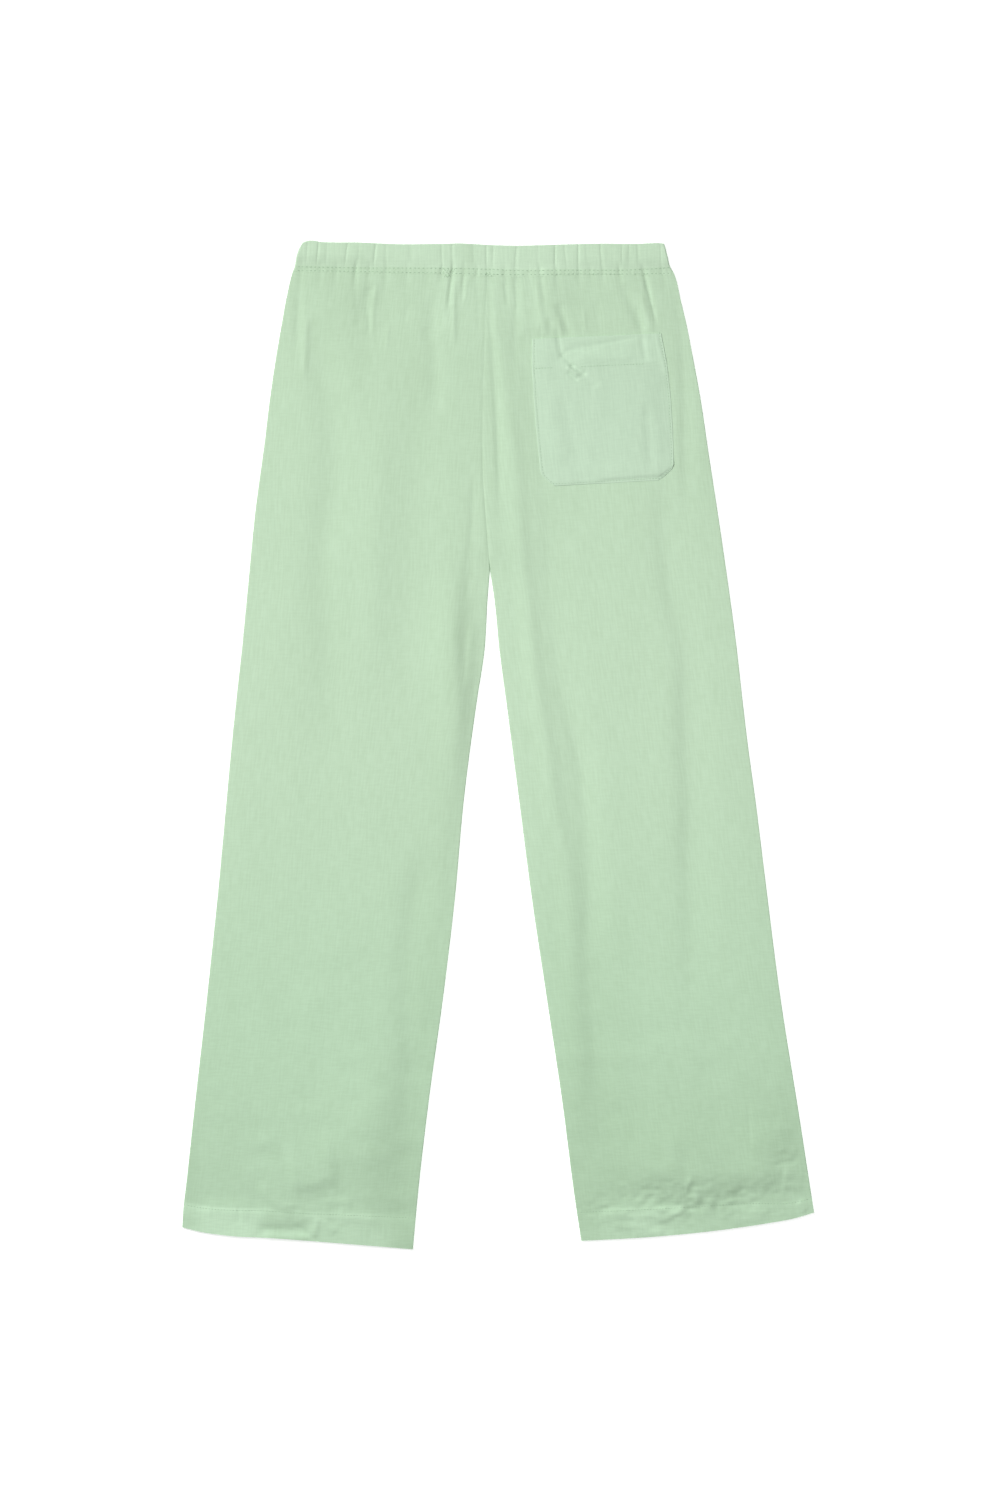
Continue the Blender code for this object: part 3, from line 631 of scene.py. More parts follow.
# The linen's softness: height above the knees, height near the hems, spacing across, spacing along, seed.
SOFTNESS = (
    (0.5, 0.5, 46.0, 130.0, 11),
    (0.13, 0.13, 17.0, 70.0, 12),
    (0.0, 0.38, 25.0, 15.0, 14),
    (0.01, 0.06, 10.0, 9.0, 13),
)
SOFTNESS_LEVEL = -60.0   # below this level the heights change
SOFTNESS_BLEND = 360.0   # over this much

# The other random fields: spacing across, spacing along, seed.
FIELDS = {
    "rumpled hems": (7.0, 4.2, 16),
    "hem paleness": (16.0, 14.0, 15),
    "hem stitches": (30.0, 90.0, 17),
    "front waves": (30.0, 60.0, 31),
    "bulge waves": (10.0, 30.0, 21),
    "puckers": (2.8, 6.0, 22),
    "eased-in cloth": (34.0, 60.0, 23),
    "tight stitches": (26.0, 60.0, 24),
}

# Grids: columns between the edges, the edges' own columns, and rows in the hem, leg, seat and gathers.
HEM_ZONE = 72.0
BACK_COLUMNS = 160
BACK_EDGE_STEPS = (0.0, 0.15, 0.45, 1.0, 2.4)
BACK_ROWS = (44, 150, 66, 26)
FRONT_COLUMNS = 90
FRONT_EDGE_STEPS = (0.0, 0.5, 1.2, 2.2)
FRONT_ROWS = (12, 90, 40, 18)

# The casing's grids: columns from one crease to the next, and rows as shares of the way up. The rows are
# closest on the flange and at the fold.
CROWDING = 0.6           # how strongly the columns crowd towards the creases
BACK_BAND_COLUMNS = 15
BACK_BAND_ROWS = np.concatenate((
    np.linspace(0.0, 0.32, 17),
    np.linspace(0.32, 0.9, 20)[1:],
    (0.93, 0.955, 0.975, 0.987, 0.995, 1.0),
))
FRONT_BAND_COLUMNS = 10
FRONT_BAND_ROWS = np.concatenate((np.linspace(0.0, 0.92, 20), (0.95, 0.975, 0.99, 1.0)))

# The pocket's grid: the first columns and rows in from its edge, and then even ones.
POCKET_STEPS = (0.0, 0.3, 0.7, 1.2, 2.0, 3.0)
POCKET_FIRST = 4.2       # where the even ones begin
MOUTH_FIRST = 2.4        # and where they do below the mouth
POCKET_COLUMNS = 96
POCKET_ROWS = 108


# ---------------------------------------------------------------- helpers
def ease(share):
    """Rises smoothly from 0 to 1 as share does."""
    share = np.clip(share, 0.0, 1.0)
    return share * share * (3.0 - 2.0 * share)


def mix(start, end, share):
    """The value that lies the given share of the way from start to end."""
    return start + (end - start) * share


def quarter(share):
    """Quarter circle: rises steeply from 0 and levels out at 1."""
    return np.sqrt(1.0 - (1.0 - np.clip(share, 0.0, 1.0)) ** 2)


def bell(gap, half_width, height=1.0):
    """A bell-shaped height: height * e to the power of -(gap / half width) squared."""
    return height * np.exp(-(gap / half_width) ** 2)


def spot(x, y, centre_x, centre_y, half_width, half_length):
    """A bell of height 1 round a centre, with its own half width in each direction."""
    return np.exp(-((x - centre_x) / half_width) ** 2 - ((y - centre_y) / half_length) ** 2)


def through(table, column, place):
    """A smooth curve through a table's rows: its first column is the place, and column gives the value.

    Between two rows it is a cubic whose slopes at the rows are those of their neighbours.
    """
    rows = np.array(sorted(table))
    knots, values = rows[:, 0], rows[:, column]
    slopes = np.gradient(values, knots)
    place = np.clip(np.asarray(place, float), knots[0], knots[-1])
    low = np.clip(np.searchsorted(knots, place) - 1, 0, len(knots) - 2)
    span = knots[low + 1] - knots[low]
    share = (place - knots[low]) / span
    rise = ease(share)
    start_pull = share * (1.0 - share) ** 2 * span * slopes[low]
    end_pull = share ** 2 * (1.0 - share) * span * slopes[low + 1]
    return mix(values[low], values[low + 1], rise) + start_pull - end_pull


def uneven(x, y, across, along, seed):
    """A smooth random field from -1 to 1: random heights on a lattice of that spacing, eased between."""
    heights = np.random.default_rng(seed).uniform(-1.0, 1.0, (LATTICE, LATTICE))
    column = x / across + LATTICE_SHIFT
    row = y / along + LATTICE_SHIFT
    left = np.floor(column).astype(int)
    below = np.floor(row).astype(int)
    lines = []
    for line in (below % LATTICE, (below + 1) % LATTICE):
        start, end = heights[line, left % LATTICE], heights[line, (left + 1) % LATTICE]
        lines.append(mix(start, end, ease(column - left)))
    return mix(*lines, ease(row - below))


def fold_height(table, x, y):
    """Sum of a table's folds: each is a bell across its bowed line, dying away at both ends.

    The line stands off the straight one by bow * 4 * share * (1 - share), share being that of its length. A
    row with two half widths has a lopsided bell: the first is to the right of the way it runs.
    """
    height = np.zeros_like(x)
    for x0, y0, x1, y1, bow, *half_widths, rise in table:
        run = np.array((x1 - x0, y1 - y0))
        length = np.hypot(*run)
        along = ((x - x0) * run[0] + (y - y0) * run[1]) / length ** 2
        aside = ((x - x0) * run[1] - (y - y0) * run[0]) / length - bow * 4.0 * along * (1.0 - along)
        half_width = np.where(aside > 0.0, half_widths[0], half_widths[-1])
        ends = ease(along / FOLD_TAPER) * ease((1.0 - along) / FOLD_TAPER)
        height += rise * ends * bell(aside, half_width)
    return height


def long_fold_height(x, y):
    """Sum of the long folds: each is a lopsided bell across its path, as high as the path's rows say."""
    height = np.zeros_like(x)
    for left_width, right_width, path in LONG_FOLDS:
        aside = x - through(path, 1, y)
        half_width = np.where(aside < 0.0, left_width, right_width)
        height += bell(aside, half_width, through(path, 2, y))
    return height


def gather_height(x, y):
    """Sum of the gathers: each trough is deepest at the waist seam and dies away down its length."""
    height = np.zeros_like(x)
    below = WAIST_SEAM - y
    for seam_x, end_x, length, half_width, depth in GATHERS:
        centre = mix(seam_x, end_x, below / (WAIST_SEAM - GATHER_END)) + CREASE_LEAN
        spread = half_width * np.maximum(1.0 + below / length, 0.5)
        strength = np.clip(1.0 - below / length, 0.0, 1.0)
        height -= GATHER_SLACK * depth * strength * bell(x - centre, spread)
    return height


def painted_shading_amount(x, y):
    """How much painted shade darkens the cloth: a sum of broad soft patches."""
    depth = np.zeros_like(x)
    for *place, amount in PAINTED_SHADING_PATCHES:
        depth += amount * spot(x, y, *place)
    return depth


def greener_dye(y):
    """How much greener the dye looks: from 0 down to the thighs to 1 above the hems."""
    return ease((GREENER_FROM - y) / GREENER_REACH)


def distance_to(path, x, y):
    """Distance from each place to a path of straight runs."""
    nearest = np.full(np.shape(x), np.inf)
    for (x0, y0), (x1, y1) in zip(path[:-1], path[1:]):
        run_x, run_y = x1 - x0, y1 - y0
        along = np.clip(((x - x0) * run_x + (y - y0) * run_y) / (run_x ** 2 + run_y ** 2), 0.0, 1.0)
        nearest = np.minimum(nearest, np.hypot(x - x0 - along * run_x, y - y0 - along * run_y))
    return nearest


# ---------------------------------------------------------------- the leg panels' form
def leg_edges(side, y):
    """Places of a leg's outseam and of its inner edge at a level."""
    column = HEMS[side]["column"]
    outer = through(OUTSEAMS, column, y)
    inner = np.where(y >= CROTCH, through(CENTRE_SEAM, 1, y), through(INSEAMS, column, y))
    return outer, inner


def hem_edge(side, share):
    """Level of a leg's hem, the given share of the way across from its outseam."""
    hem = HEMS[side]
    return mix(hem["outer"], hem["inner"], share) - through(HEM_SAG, hem["column"], share)


def hem_stitch_level(side, share):
    """Level of the stitching that holds a leg's turned hem."""
    return hem_edge(side, share) + through(HEM_STITCHING, HEMS[side]["column"], share)


def softness(x, y):
    """Small unevenness of worn linen: broad swells, more and finer crumples lower down, most at the hems."""
    lower = ease((SOFTNESS_LEVEL - y) / SOFTNESS_BLEND)
    height = np.zeros_like(x)
    for above, below, across, along, seed in SOFTNESS:
        height += mix(above, below, lower) * uneven(x, y, across, along, seed)
    for *place, rise in RUMPLED_HEMS:
        height += rise * spot(x, y, *place) * uneven(x, y, *FIELDS["rumpled hems"])
    return height


def panel_top(side, x, y):
    """Outer face of a back panel away from its rolled edges.

    It has the solid's form in finer steps: a loft that rises from the seams and sinks towards the hem, a
    climb to the casing, the groove of the centre-back seam, the folds and the gathers. To it come the
    smaller creases, the step of the turned hem and the softness of the linen.
    """
    outer, inner = leg_edges(side, y)
    outer_gap = np.abs(x - outer)
    inner_gap = np.abs(x - inner)
    share = np.clip(outer_gap / np.abs(inner - outer), 0.0, 1.0)
    above_crotch = ease((y - CROTCH + CROTCH_LEAD) / CROTCH_BLEND)
    inner_rise = mix(1.0 - np.exp(-inner_gap / SOFT_REACH), 1.0, above_crotch)
    outer_rise = 1.0 - np.exp(-outer_gap / SOFT_REACH)
    hem_share = mix(HEM_LOFT, 1.0, ease((y - HEMS["left"]["outer"]) / HEM_REACH))
    below_seam = np.maximum(WAIST_SEAM - y, 0.0)
    climb = WAIST_CLIMB * ease(1.0 - below_seam / WAIST_REACH) + WAIST_TUCK * np.exp(-below_seam / TUCK_REACH)
    loft = LOWEST_BACK + LOFT * inner_rise * outer_rise * hem_share + climb
    seam_gap = np.abs(x - through(CENTRE_SEAM, 1, y))
    line_depth = mix(*SEAM_LINE, ease((y - SEAM_LINE_LEVEL) / SEAM_LINE_BLEND))
    groove = SEAM_DIP * np.exp(-seam_gap / SEAM_DIP_REACH) + bell(seam_gap, SEAM_LINE_WIDTH, line_depth)
    creases = long_fold_height(x, y) + gather_height(x, y)
    creases += fold_height(BOWED_FOLDS + SEAT_CREASES + HEM_CREASES, x, y)
    near_edge = 1.0 - np.exp(-outer_gap / LOFT_REACH)
    creases *= np.minimum(near_edge * EDGE_EASE, 1.0)
    height = loft - above_crotch * groove + creases + softness(x, y) * near_edge
    height = np.maximum(height, LOWEST_BACK - THINNER) + CLOTH
    above_stitch = y - hem_stitch_level(side, share)
    height += HEM_STEP * ease(0.5 - above_stitch / HEM_STEP_WIDTH)
    height -= (1.0 + uneven(x, y, *FIELDS["hem stitches"])) * bell(above_stitch, *HEM_DENT)
    return height


def above_inseam(y):
    """0 along the inseam and 1 along the centre seam."""
    return ease((y - CROTCH) / INSEAM_FADE)


def leg_roll(y, share, width, radius):
    """How far a panel's cloth has turned flat, from 0 at its outseam and at its inseam to 1."""
    outer_roll = quarter(share * width / radius)
    inner_roll = quarter((1.0 - share) * width / radius)
    return outer_roll * mix(inner_roll, 1.0, above_inseam(y))


def leg_grid(side, columns, edge_steps, rows):
    """Places of a leg panel's grid: rows run from the outseam to the inner edge, hem first.

    Returns x, y and the share across. rows are the counts of rows in the hem, leg, seat and gathers, and
    edge_steps the distances of the first columns from an edge.
    """
    hem = HEMS[side]
    outer_run = CROTCH - hem["outer"]
    hem_rows, leg_rows, seat_rows, waist_rows = rows
    climb = np.concatenate((
        np.linspace(0.0, HEM_ZONE, hem_rows + 1),
        np.linspace(HEM_ZONE, outer_run, leg_rows + 1)[1:],
    )) / outer_run
    seat = np.concatenate((
        np.linspace(CROTCH, GATHER_END, seat_rows + 1)[1:],
        np.linspace(GATHER_END, PANEL_TOP, waist_rows + 1)[1:],
    ))
    outer_level = np.concatenate((mix(hem["outer"], CROTCH, climb), seat))[:, None]
    inner_level = np.concatenate((mix(hem["inner"], CROTCH, climb), seat))[:, None]
    outer, _ = leg_edges(side, outer_level)
    _, inner = leg_edges(side, inner_level)
    edge = np.array(edge_steps) / np.abs(inner - outer)
    middle = mix(edge[:, -1:], 1.0 - edge[:, -1:], np.linspace(0.0, 1.0, columns + 1)[1:-1])
    share = np.concatenate((edge, middle, 1.0 - edge[:, ::-1]), axis=1)
    sag = through(HEM_SAG, hem["column"], share) * (1.0 - ease((outer_level - hem["outer"]) / HEM_SAG_REACH))
    return mix(outer, inner, share), mix(outer_level, inner_level, share) - sag, share


# ---------------------------------------------------------------- meshes
def grid_faces(rows, columns):
    """Corners of a grid's quads, anticlockwise where the columns run to the right and the rows upwards."""
    corner = np.arange(rows * columns).reshape(rows, columns)
    quads = np.stack((corner[:-1, :-1], corner[:-1, 1:], corner[1:, 1:], corner[1:, :-1]), axis=-1)
    return quads.reshape(-1, 4)


def new_piece(name, points, faces, material):
    """A mesh object at the origin, of points in millimetres and a list of faces."""
    mesh = bpy.data.meshes.new(name)
    mesh.from_pydata((points.reshape(-1, 3) * MM).tolist(), [], faces)
    mesh.materials.append(material)
    mesh.shade_smooth()
    piece = bpy.data.objects.new(name, mesh)
    bpy.context.scene.collection.objects.link(piece)
    return piece


def give_grain(piece, across, along):
    """A UV map in metres: U runs across the grain of the linen and V along it."""
    layer = piece.data.uv_layers.new(name="grain")
    places = np.column_stack((np.ravel(across), np.ravel(along))) * MM
    corners = np.empty(len(piece.data.loops), dtype=np.int32)
    piece.data.loops.foreach_get("vertex_index", corners)
    layer.data.foreach_set("uv", places[corners].astype(np.float32).ravel())


def give_attribute(piece, name, values):
    """A number at each point, which a material can read."""
    attribute = piece.data.attributes.new(name, "FLOAT", "POINT")
    attribute.data.foreach_set("value", np.ravel(values).astype(np.float32))


def give_wall(piece, wall, thick=None, thick_wall=None):
    """Solidify gives the cloth its wall, inwards from its outer face.

    thick marks, from 0 to 1, the points that have thick_wall instead.
    """
    solidify = piece.modifiers.new("wall", "SOLIDIFY")
    solidify.offset = -1.0
    solidify.thickness = wall * MM
    if thick is not None:
        group = piece.vertex_groups.new(name="turned_cloth")
        values = np.ravel(thick)
        group.add(np.flatnonzero(values > 0.5).tolist(), 1.0, "REPLACE")
        solidify.vertex_group = group.name
        solidify.thickness = thick_wall * MM
        solidify.thickness_vertex_group = wall / thick_wall
    corners = piece.modifiers.new("corners", "EDGE_SPLIT")
    corners.split_angle = np.radians(SPLIT_ANGLE)


def cloth_shell(name, places, faces_up, material, grain, looks):
    """One layer of cloth over a grid of places, its faces turned up or down.

    grain gives each point's place across and along the linen's grain, and looks the numbers that the
    material reads there.
    """
    x = places[0]
    faces = grid_faces(*x.shape)
    runs_right = x[0, -1] > x[0, 0]
    if runs_right != faces_up:
        faces = faces[:, ::-1]
    piece = new_piece(name, np.stack(places, axis=-1), faces.tolist(), material)
    give_grain(piece, *grain)
    for look, values in looks.items():
        give_attribute(piece, look, values)
    return piece


# ---------------------------------------------------------------- materials
def linear(hex_colour):
    """Turns an sRGB hex colour into linear red, green, blue and alpha."""
    channels = np.array([int(hex_colour[place:place + 2], 16) for place in (1, 3, 5)]) / 255.0
    curved = np.where(channels <= 0.04045, channels / 12.92, ((channels + 0.055) / 1.055) ** 2.4)
    return (*curved.tolist(), 1.0)


def add(tree, kind, inputs=None, **settings):
    """Adds a node: settings are its properties, and inputs its sockets' values or the sockets to link."""
    node = tree.nodes.new(kind)
    for name, value in settings.items():
        setattr(node, name, value)
    for socket, value in (inputs or {}).items():
        if isinstance(value, bpy.types.NodeSocket):
            tree.links.new(value, node.inputs[socket])
        else:
            node.inputs[socket].default_value = value
    return node


def new_material(name, inputs):
    """A material with these inputs of its shader. Returns it and the shader."""
    material = bpy.data.materials.new(name)
    material.use_nodes = True
    shader = material.node_tree.nodes["Principled BSDF"]
    for socket, value in inputs.items():
        shader.inputs[socket].default_value = value
    return material, shader


MIX_A, MIX_B, MIX_RESULT = 6, 7, 2           # a Mix node's colour sockets
GREENER_DYE = "#fafffc"                      # the cloth is a little greener towards the hems
PAINTED_SHADE_TINT = "#f6f7f5"                       # and darker in patches: painted shade
WARP_STREAK = (0.0018, 0.022)                # sizes in metres of one patch, across the grain and along it
WEFT_STREAK = (0.013, 0.0019)
DYE_PATCH = (0.03, 0.06)
WASHED_CRUMPLE = (0.006, 0.014)
DYE_SHARE = 0.12                             # how far the dye's patches blur the streaks
WEFT_SHARE = 0.38                            # share of the weft in the streaks
WEFT_GAIN = 0.14                             # and how much it gains towards the hems
STREAK_RANGE = (0.34, 0.66)                  # the noise from the thinnest threads to the thickest
CRUMPLE_SHARE = 0.5                          # the washed crumple's height over the threads'
THREAD_RELIEF = 0.00004                      # the threads' height in metres
TWIST = 1.0 / 900.0                          # metres from one shade of the sewing thread to the next
THREAD_SHADE = 0.85
WHITE = (1.0, 1.0, 1.0, 1.0)
PAPER = (0.75, 0.75, 0.75, 1.0)


def linen(name, single, double):
    """Garment-dyed, washed plain-weave linen.

    It gives the eye a matt, slightly dry surface: threads of uneven thickness run both ways as short pale and
    dark streaks, longer along the warp, and the washed cloth is finely crumpled. single and double are each
    the colours of its thinnest and thickest threads, where one layer shows and where the cloth lies over
    itself. The real threads are 0.5 mm apart, too fine to show, so the streaks are drawn 2 mm wide.
    """
    material, shader = new_material(name, {"Roughness": 0.86, "IOR": 1.45, "Specular IOR Level": 0.25,
                                           "Sheen Weight": 0.1, "Sheen Roughness": 0.5})
    tree = material.node_tree
    grain = add(tree, "ShaderNodeUVMap", uv_map="grain").outputs["UV"]

    def threads(across, along):
        """Noise stretched over the grain: one patch is so many metres across and along it."""
        place = add(tree, "ShaderNodeMapping", {"Vector": grain, "Scale": (1.0 / across, 1.0 / along, 1.0)})
        noise = add(tree, "ShaderNodeTexNoise", {"Vector": place.outputs[0], "Scale": 1.0, "Detail": 1.0,
                                                 "Roughness": 0.5}, noise_dimensions="2D")
        return noise.outputs["Fac"]

    # the shell's looks: greener dye, painted shade in patches, and how much the cloth lies over itself
    greener, painted_shading, folded = (
        add(tree, "ShaderNodeAttribute", attribute_name=look).outputs["Fac"]
        for look in ("greener", "painted_shading", "folded")
    )
    weft_share = add(tree, "ShaderNodeMath", {0: greener, 1: WEFT_GAIN, 2: WEFT_SHARE},
                     operation="MULTIPLY_ADD").outputs[0]
    slubs = add(tree, "ShaderNodeMix", {"Factor": weft_share, 2: threads(*WARP_STREAK),
                                        3: threads(*WEFT_STREAK)}, data_type="FLOAT").outputs[0]
    mottle = add(tree, "ShaderNodeMix", {"Factor": DYE_SHARE, 2: slubs, 3: threads(*DYE_PATCH)},
                 data_type="FLOAT").outputs[0]
    spread = add(tree, "ShaderNodeMapRange", {"Value": mottle, "From Min": STREAK_RANGE[0],
                                              "From Max": STREAK_RANGE[1]}).outputs[0]
    one_layer, two_layers = (
        add(tree, "ShaderNodeMix", {"Factor": spread, MIX_A: linear(thinnest), MIX_B: linear(thickest)},
            data_type="RGBA").outputs[MIX_RESULT]
        for thinnest, thickest in (single, double)
    )
    colour = add(tree, "ShaderNodeMix", {"Factor": folded, MIX_A: one_layer, MIX_B: two_layers},
                 data_type="RGBA").outputs[MIX_RESULT]
    # multiplies in the greener dye towards the hems and the painted shade of the patches
    for share, dye in ((greener, GREENER_DYE), (painted_shading, PAINTED_SHADE_TINT)):
        colour = add(tree, "ShaderNodeMix", {"Factor": share, MIX_A: colour, MIX_B: linear(dye)},
                     data_type="RGBA", blend_type="MULTIPLY").outputs[MIX_RESULT]
    surface = add(tree, "ShaderNodeMath", {0: threads(*WASHED_CRUMPLE), 1: CRUMPLE_SHARE, 2: slubs},
                  operation="MULTIPLY_ADD").outputs[0]
    bump = add(tree, "ShaderNodeBump", {"Height": surface, "Strength": 1.0, "Distance": THREAD_RELIEF})
    tree.links.new(colour, shader.inputs["Base Color"])
    tree.links.new(bump.outputs["Normal"], shader.inputs["Normal"])
    return material


def thread(name, colour):
    """Spun polyester sewing thread in the colour it is given: smoother than the linen, with a faint shine."""
    material, shader = new_material(name, {"Roughness": 0.55})
    tree = material.node_tree
    place = add(tree, "ShaderNodeTexCoord").outputs["Object"]
    twist = add(tree, "ShaderNodeTexNoise", {"Vector": place, "Scale": 1.0 / TWIST, "Detail": 1.0})
    base = linear(colour)
    shaded = (*(channel * THREAD_SHADE for channel in base[:3]), 1.0)
    shade = add(tree, "ShaderNodeMix", {"Factor": twist.outputs["Fac"], MIX_A: base, MIX_B: shaded},
                data_type="RGBA")
    tree.links.new(shade.outputs[MIX_RESULT], shader.inputs["Base Color"])
    return material


def white_floor():
    """Matt white paper under a strong light: the eye sees no texture in it."""
    material, _ = new_material("matt_white_paper", {"Base Color": PAPER, "Roughness": 1.0,
                                                    "Emission Color": WHITE, "Emission Strength": 0.6})
    return material


# ---------------------------------------------------------------- pieces
def dress(piece, node):
    """Makes a piece ride on the part's one body and stand for its node, whose part it hides."""
    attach(piece, "root")
    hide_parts(node)
    return piece


def make_back_panel(side, material):
    """A back panel: the solid's outer face with its creases, rolled down to the side seam and the inseam."""
    x, y, share = leg_grid(side, BACK_COLUMNS, BACK_EDGE_STEPS, BACK_ROWS)
    outer, inner = leg_edges(side, y)
    width = np.abs(inner - outer)
    z = panel_top(side, x, y)
    if side == "right":
        z = z - bell(distance_to(pocket_outline(), x, y), *POCKET_DENT)
    z = mix(EDGE_LEVEL, z, leg_roll(y, share, width, EDGE_RADIUS))
    above_stitch = y - hem_stitch_level(side, share)
    in_hem = ease(0.5 - (above_stitch - HEM_MARGIN) / HEM_BLEND)
    patchy = through(HEM_PALENESS, 1, x) + HEM_PATCHINESS * uneven(x, y, *FIELDS["hem paleness"])
    allowance = ease((ALLOWANCE - (1.0 - share) * width) / ALLOWANCE_BLEND) * (1.0 - above_inseam(y))
    looks = {
        "folded": np.maximum(in_hem * np.maximum(patchy, 0.0), ALLOWANCE_PALENESS * allowance),
        "greener": greener_dye(y),
        # painted shade in broad patches
        "painted_shading": painted_shading_amount(x, y),
    }
    grain = (x - (outer + inner) / 2.0, y)
    piece = cloth_shell("back_panel_" + side, (x, y, z), True, material, grain, looks)
    give_wall(piece, LINEN, in_hem, LINEN_HEM)
    return dress(piece, "back_" + side)


def make_front_panel(side, material):
    """A front panel: flat on the surface, its lower face rolled up to the seams, with a few creases in it."""
    x, y, share = leg_grid(side, FRONT_COLUMNS, FRONT_EDGE_STEPS, FRONT_ROWS)
    outer, inner = leg_edges(side, y)
    creases = np.maximum(-FRONT_FOLDS * long_fold_height(outer + inner - x, y), 0.0)
    lift = np.maximum(FRONT_WAVES * uneven(x, y, *FIELDS["front waves"]), 0.0) + creases
    z = mix(EDGE_LEVEL - FRONT_DROP, lift, leg_roll(y, share, np.abs(inner - outer), FRONT_RADIUS))
    in_hem = ease(0.5 - (y - hem_stitch_level(side, share)) / LOOK_BLEND)
    looks = {"folded": FRONT_PALENESS * in_hem, "greener": greener_dye(y)}
    grain = (x - (outer + inner) / 2.0, y)
    piece = cloth_shell("front_panel_" + side, (x, y, z), False, material, grain, looks)
    give_wall(piece, LINEN)
    return dress(piece, "front_" + side)


def band_columns(between):
    """Upper and lower places of the casing's columns: so many a stretch, crowded towards its creases."""
    upper, lower = (
        [BAND_ENDS[end][1]] + [row[column] for row in BAND_CREASES] + [BAND_ENDS[end][2]]
        for end, column in ((-1, 0), (0, 1))
    )
    even = np.linspace(0.0, 1.0, between + 1)[:-1]
    crowded = mix(even, (1.0 - np.cos(np.pi * even)) / 2.0, CROWDING)
    knots = np.arange(len(upper))
    stations = np.append((knots[:-1, None] + crowded).ravel(), knots[-1])
    return np.interp(stations, knots, upper), np.interp(stations, knots, lower)


def band_grid(between, rows):
    """Places of the casing's grid: rows from its lower edge to its fold, columns leaning with its creases."""
    upper, lower = band_columns(between)
    share = rows[:, None]
    x = mix(lower, upper, share)
    top = through(BAND_TOP, 1, x)
    bottom = through(FLANGE_EDGE, 1, x)
    y = mix(bottom, top, share)
    left = through(BAND_ENDS, 1, y)
    right = through(BAND_ENDS, 2, y)
    x = left + (right - left) * (x - x[:, :1]) / (x[:, -1:] - x[:, :1])
    return x, y


def band_share(x, y):
    """How far up the casing a place lies, from 0 at the waist seam to 1 at the fold."""
    return (y - WAIST_SEAM) / (through(BAND_TOP, 1, x) - WAIST_SEAM)


def band_roll(x, y, fold_radius, end_radius):
    """How far the casing has turned flat, from 0 at its fold and at its ends to 1."""
    end_gap = np.minimum(x - through(BAND_ENDS, 1, y), through(BAND_ENDS, 2, y) - x)
    return quarter((through(BAND_TOP, 1, x) - y) / fold_radius) * quarter(end_gap / end_radius)


def band_top(x, y):
    """Outer face of the back casing away from its fold and its ends.

    The elastic fills it out between its creases, each of which is pinched to a sharp line: its depth dies
    away as e to the power of -gap / half width. Below its upper row of stitches it sinks to a flat flange on
    the panels, which puckers between the rows and is pulled down once a stitch.
    """
    share = band_share(x, y)
    above_upper = y - through(CASING_STITCHING, 1, x)
    above_lower = y - through(CASING_STITCHING, 2, x)
    filled = ease(above_upper / FILL_REACH) * ease((1.0 + BAND_TOP_FILL - share) / BAND_ROUNDING)
    bulge = CASING_BULGE + BULGE_WAVES * uneven(x, y, *FIELDS["bulge waves"])
    height = BAND_BASE + CASING + bulge * filled
    for top_x, low_x, half_width, depth in BAND_CREASES:
        gap = np.hypot(x - mix(low_x, top_x, share) - CREASE_LEAN, PINCH_RADIUS) - PINCH_RADIUS
        pinch = PINCH_DEPTH * depth * np.exp(-gap / (PINCH_WIDTH * half_width))
        height -= pinch * mix(FLANGE_PINCH, 1.0, filled)
    height += BAND_LIP * ease(1.0 - (1.0 - share) * BAND_DEPTH / LIP_REACH)
    side_top = np.where(x < through(CENTRE_SEAM, 1, y), panel_top("left", x, y), panel_top("right", x, y))
    height = mix(side_top + FLANGE_RISE, height, ease(above_lower / FLANGE_REACH))
    height = np.maximum(height, side_top + FLANGE_LEAST)
    eased_in = 0.5 + 0.5 * uneven(x, y, *FIELDS["eased-in cloth"])
    puckers = mix(*PUCKER_HEIGHT, eased_in) * uneven(x, y, *FIELDS["puckers"])
    height += bell(above_lower - PUCKER_LEVEL, PUCKER_WIDTH, puckers)
    tight = STITCH_PULL * (0.5 + 0.5 * uneven(x, y, *FIELDS["tight stitches"]))
    pull = tight * (0.5 + 0.5 * np.cos(2.0 * np.pi * x / CASING_PITCH))
    height -= bell(above_upper, UPPER_PULL_WIDTH, pull) + bell(above_lower, LOWER_PULL_WIDTH, 0.5 * pull)
    return height


def make_waistband_back(material):
    """The back casing, gathered on its elastic, with its fold rolled over at the top and at both ends."""
    x, y = band_grid(BACK_BAND_COLUMNS, BACK_BAND_ROWS)
    z = mix(BAND_FOLD_LEVEL, band_top(x, y), band_roll(x, y, BAND_RADIUS, BAND_END_RADIUS))
    above_upper = y - through(CASING_STITCHING, 1, x)
    # the second look is painted shade in broad patches
    looks = {"folded": ease(above_upper / LOOK_BLEND), "painted_shading": painted_shading_amount(x, y)}
    piece = cloth_shell("waistband_casing_back", (x, y, z), True, material, (x, y), looks)
    give_wall(piece, LINEN_CASING)
    return dress(piece, "waistband_back")


def make_waistband_front(material):
    """The front casing, which lies on the surface under the back one, its creases pinched up from below."""
    x, y = band_grid(FRONT_BAND_COLUMNS, FRONT_BAND_ROWS)
    share = band_share(x, y)
    lift = np.zeros_like(x)
    for top_x, low_x, half_width, depth in BAND_CREASES:
        lift += FRONT_PINCH * depth * np.exp(-np.abs(x - mix(low_x, top_x, share)) / half_width)
    turned = band_roll(x, y, FRONT_BAND_RADIUS, FRONT_BAND_RADIUS)
    z = mix(BAND_FOLD_LEVEL - FRONT_FOLD_DROP, lift, turned)
    looks = {"folded": np.ones_like(x)}
    piece = cloth_shell("waistband_casing_front", (x, y, z), False, material, (x, y), looks)
    give_wall(piece, LINEN_CASING)
    return dress(piece, "waistband_front")


